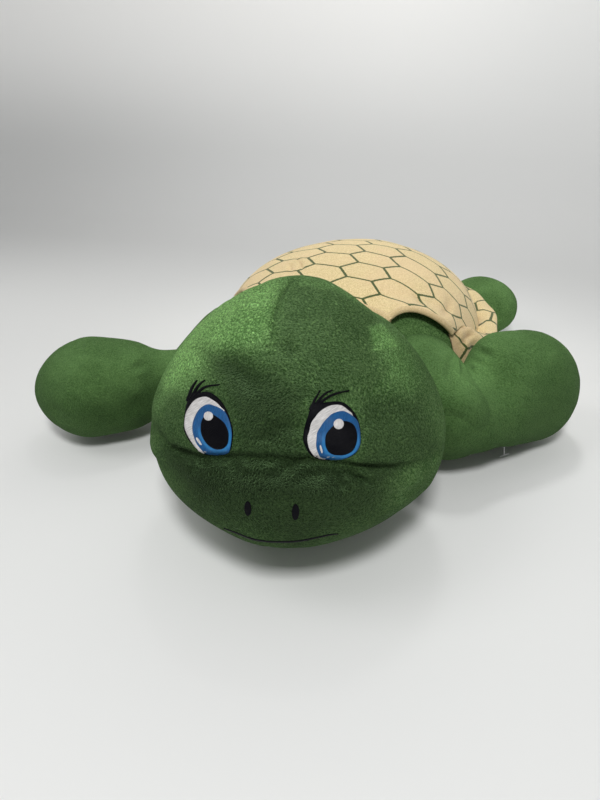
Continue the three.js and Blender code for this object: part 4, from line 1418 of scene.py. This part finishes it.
def buildStage():
    bpy.ops.object.select_all(action="DESELECT")
    bpy.ops.mesh.primitive_grid_add(x_subdivisions=2, y_subdivisions=80, size=1)
    piece = bpy.context.object
    piece.name = piece.data.name = "floor"
    points = pointsOf(piece)
    flatLength = stage["bend"] - stage["front"]
    arcLength = stage["radius"] * math.pi / 2
    run = (points[:, 1] + 0.5) * (flatLength + arcLength + stage["height"])
    angle = np.clip((run - flatLength) / stage["radius"], 0, math.pi / 2)
    y = stage["front"] + np.minimum(run, flatLength) + stage["radius"] * np.sin(angle)
    z = stage["radius"] * (1 - np.cos(angle)) + np.maximum(0, run - flatLength - arcLength)
    setPoints(piece, np.stack([points[:, 0] * stage["width"], y, z], axis=1))
    selectOnly(piece)
    bpy.ops.object.shade_smooth()
    return piece


floor = buildStage()
# painted shade in the bend behind the toy, strongest on the left, and a painted pool of light high on the
# wall, a little left of the middle
paperLook = {
    "pale": (0.80, 0.805, 0.795), "shade": (0.55, 0.555, 0.55), "lit": (0.97, 0.965, 0.95),
    "behind": ("Y", 0.04, 0.42), "low": ("Z", 0.06, 0.33, 1.0, 0.0),
    "sideways": ("X", -0.75, -0.15, 1.0, 0.55), "glowUp": ("Z", 0.08, 0.40),
    "glowLeft": ("X", -0.8, -0.3, 0.75, 1.0), "glowRight": ("X", -0.1, 0.3, 1.0, 0.1),
}
paper, paperTree, paperShader = newMaterial("paper", roughness=0.8, specular=0.2)
paperAt = addNode(paperTree, "ShaderNodeSeparateXYZ", {0: placeIn(paperTree)}).outputs


# the product of some soft steps across the paper
def fades(*names):
    share = 1.0
    for name in names:
        axis, *steps = paperLook[name]
        share = calc(paperTree, "MULTIPLY", share, between(paperTree, paperAt[axis], *steps))
    return share


shadedPaper, litPaper = fades("behind", "low", "sideways"), fades("glowUp", "glowLeft", "glowRight")
paperColour = mixColour(paperTree, shadedPaper, paperLook["pale"], paperLook["shade"])
paperColour = mixColour(paperTree, litPaper, paperColour, paperLook["lit"])
paperTree.links.new(paperColour, paperShader.inputs["Base Color"])
floor.data.materials.append(paper)

lamps = [
    {"name": "ceiling", "place": (0.17, -0.98, 1.25), "aim": (0, -0.1, 0.0), "size": 0.26, "power": 12.6},
    {"name": "window", "place": (-0.80, -0.55, 1.2), "aim": (0, -0.1, 0.0), "size": 0.6, "power": 3.0},
    {"name": "rearCeiling", "place": (-0.05, 0.45, 1.2), "aim": (0.03, 0.07, 0.1), "size": 0.15, "cone": 28,
     "power": 19},
    {"name": "wallWash", "place": (0.15, 0.20, 0.80), "aim": (0.1, 1.2, 0.62), "size": 0.5, "power": 1.6},
]
for lamp in lamps:
    bpy.ops.object.light_add(type="SPOT" if "cone" in lamp else "AREA", location=lamp["place"])
    light = bpy.context.object
    light.name = lamp["name"]
    if "cone" in lamp:
        light.data.spot_size = math.radians(lamp["cone"])
        light.data.spot_blend = 1
        light.data.shadow_soft_size = lamp["size"]
    else:
        light.data.size = lamp["size"]
    light.data.energy = lamp["power"]
    light.rotation_mode = "QUATERNION"
    light.rotation_quaternion = (Vector(lamp["aim"]) - Vector(lamp["place"])).to_track_quat("-Z", "Y")
world = bpy.data.worlds.new("room")
world.use_nodes = True
background = world.node_tree.nodes["Background"].inputs
background["Color"].default_value = (1, 1, 1, 1)
background["Strength"].default_value = stage["daylight"]
bpy.context.scene.world = world
bpy.context.scene.view_settings.view_transform = "Standard"
print("stage lit")
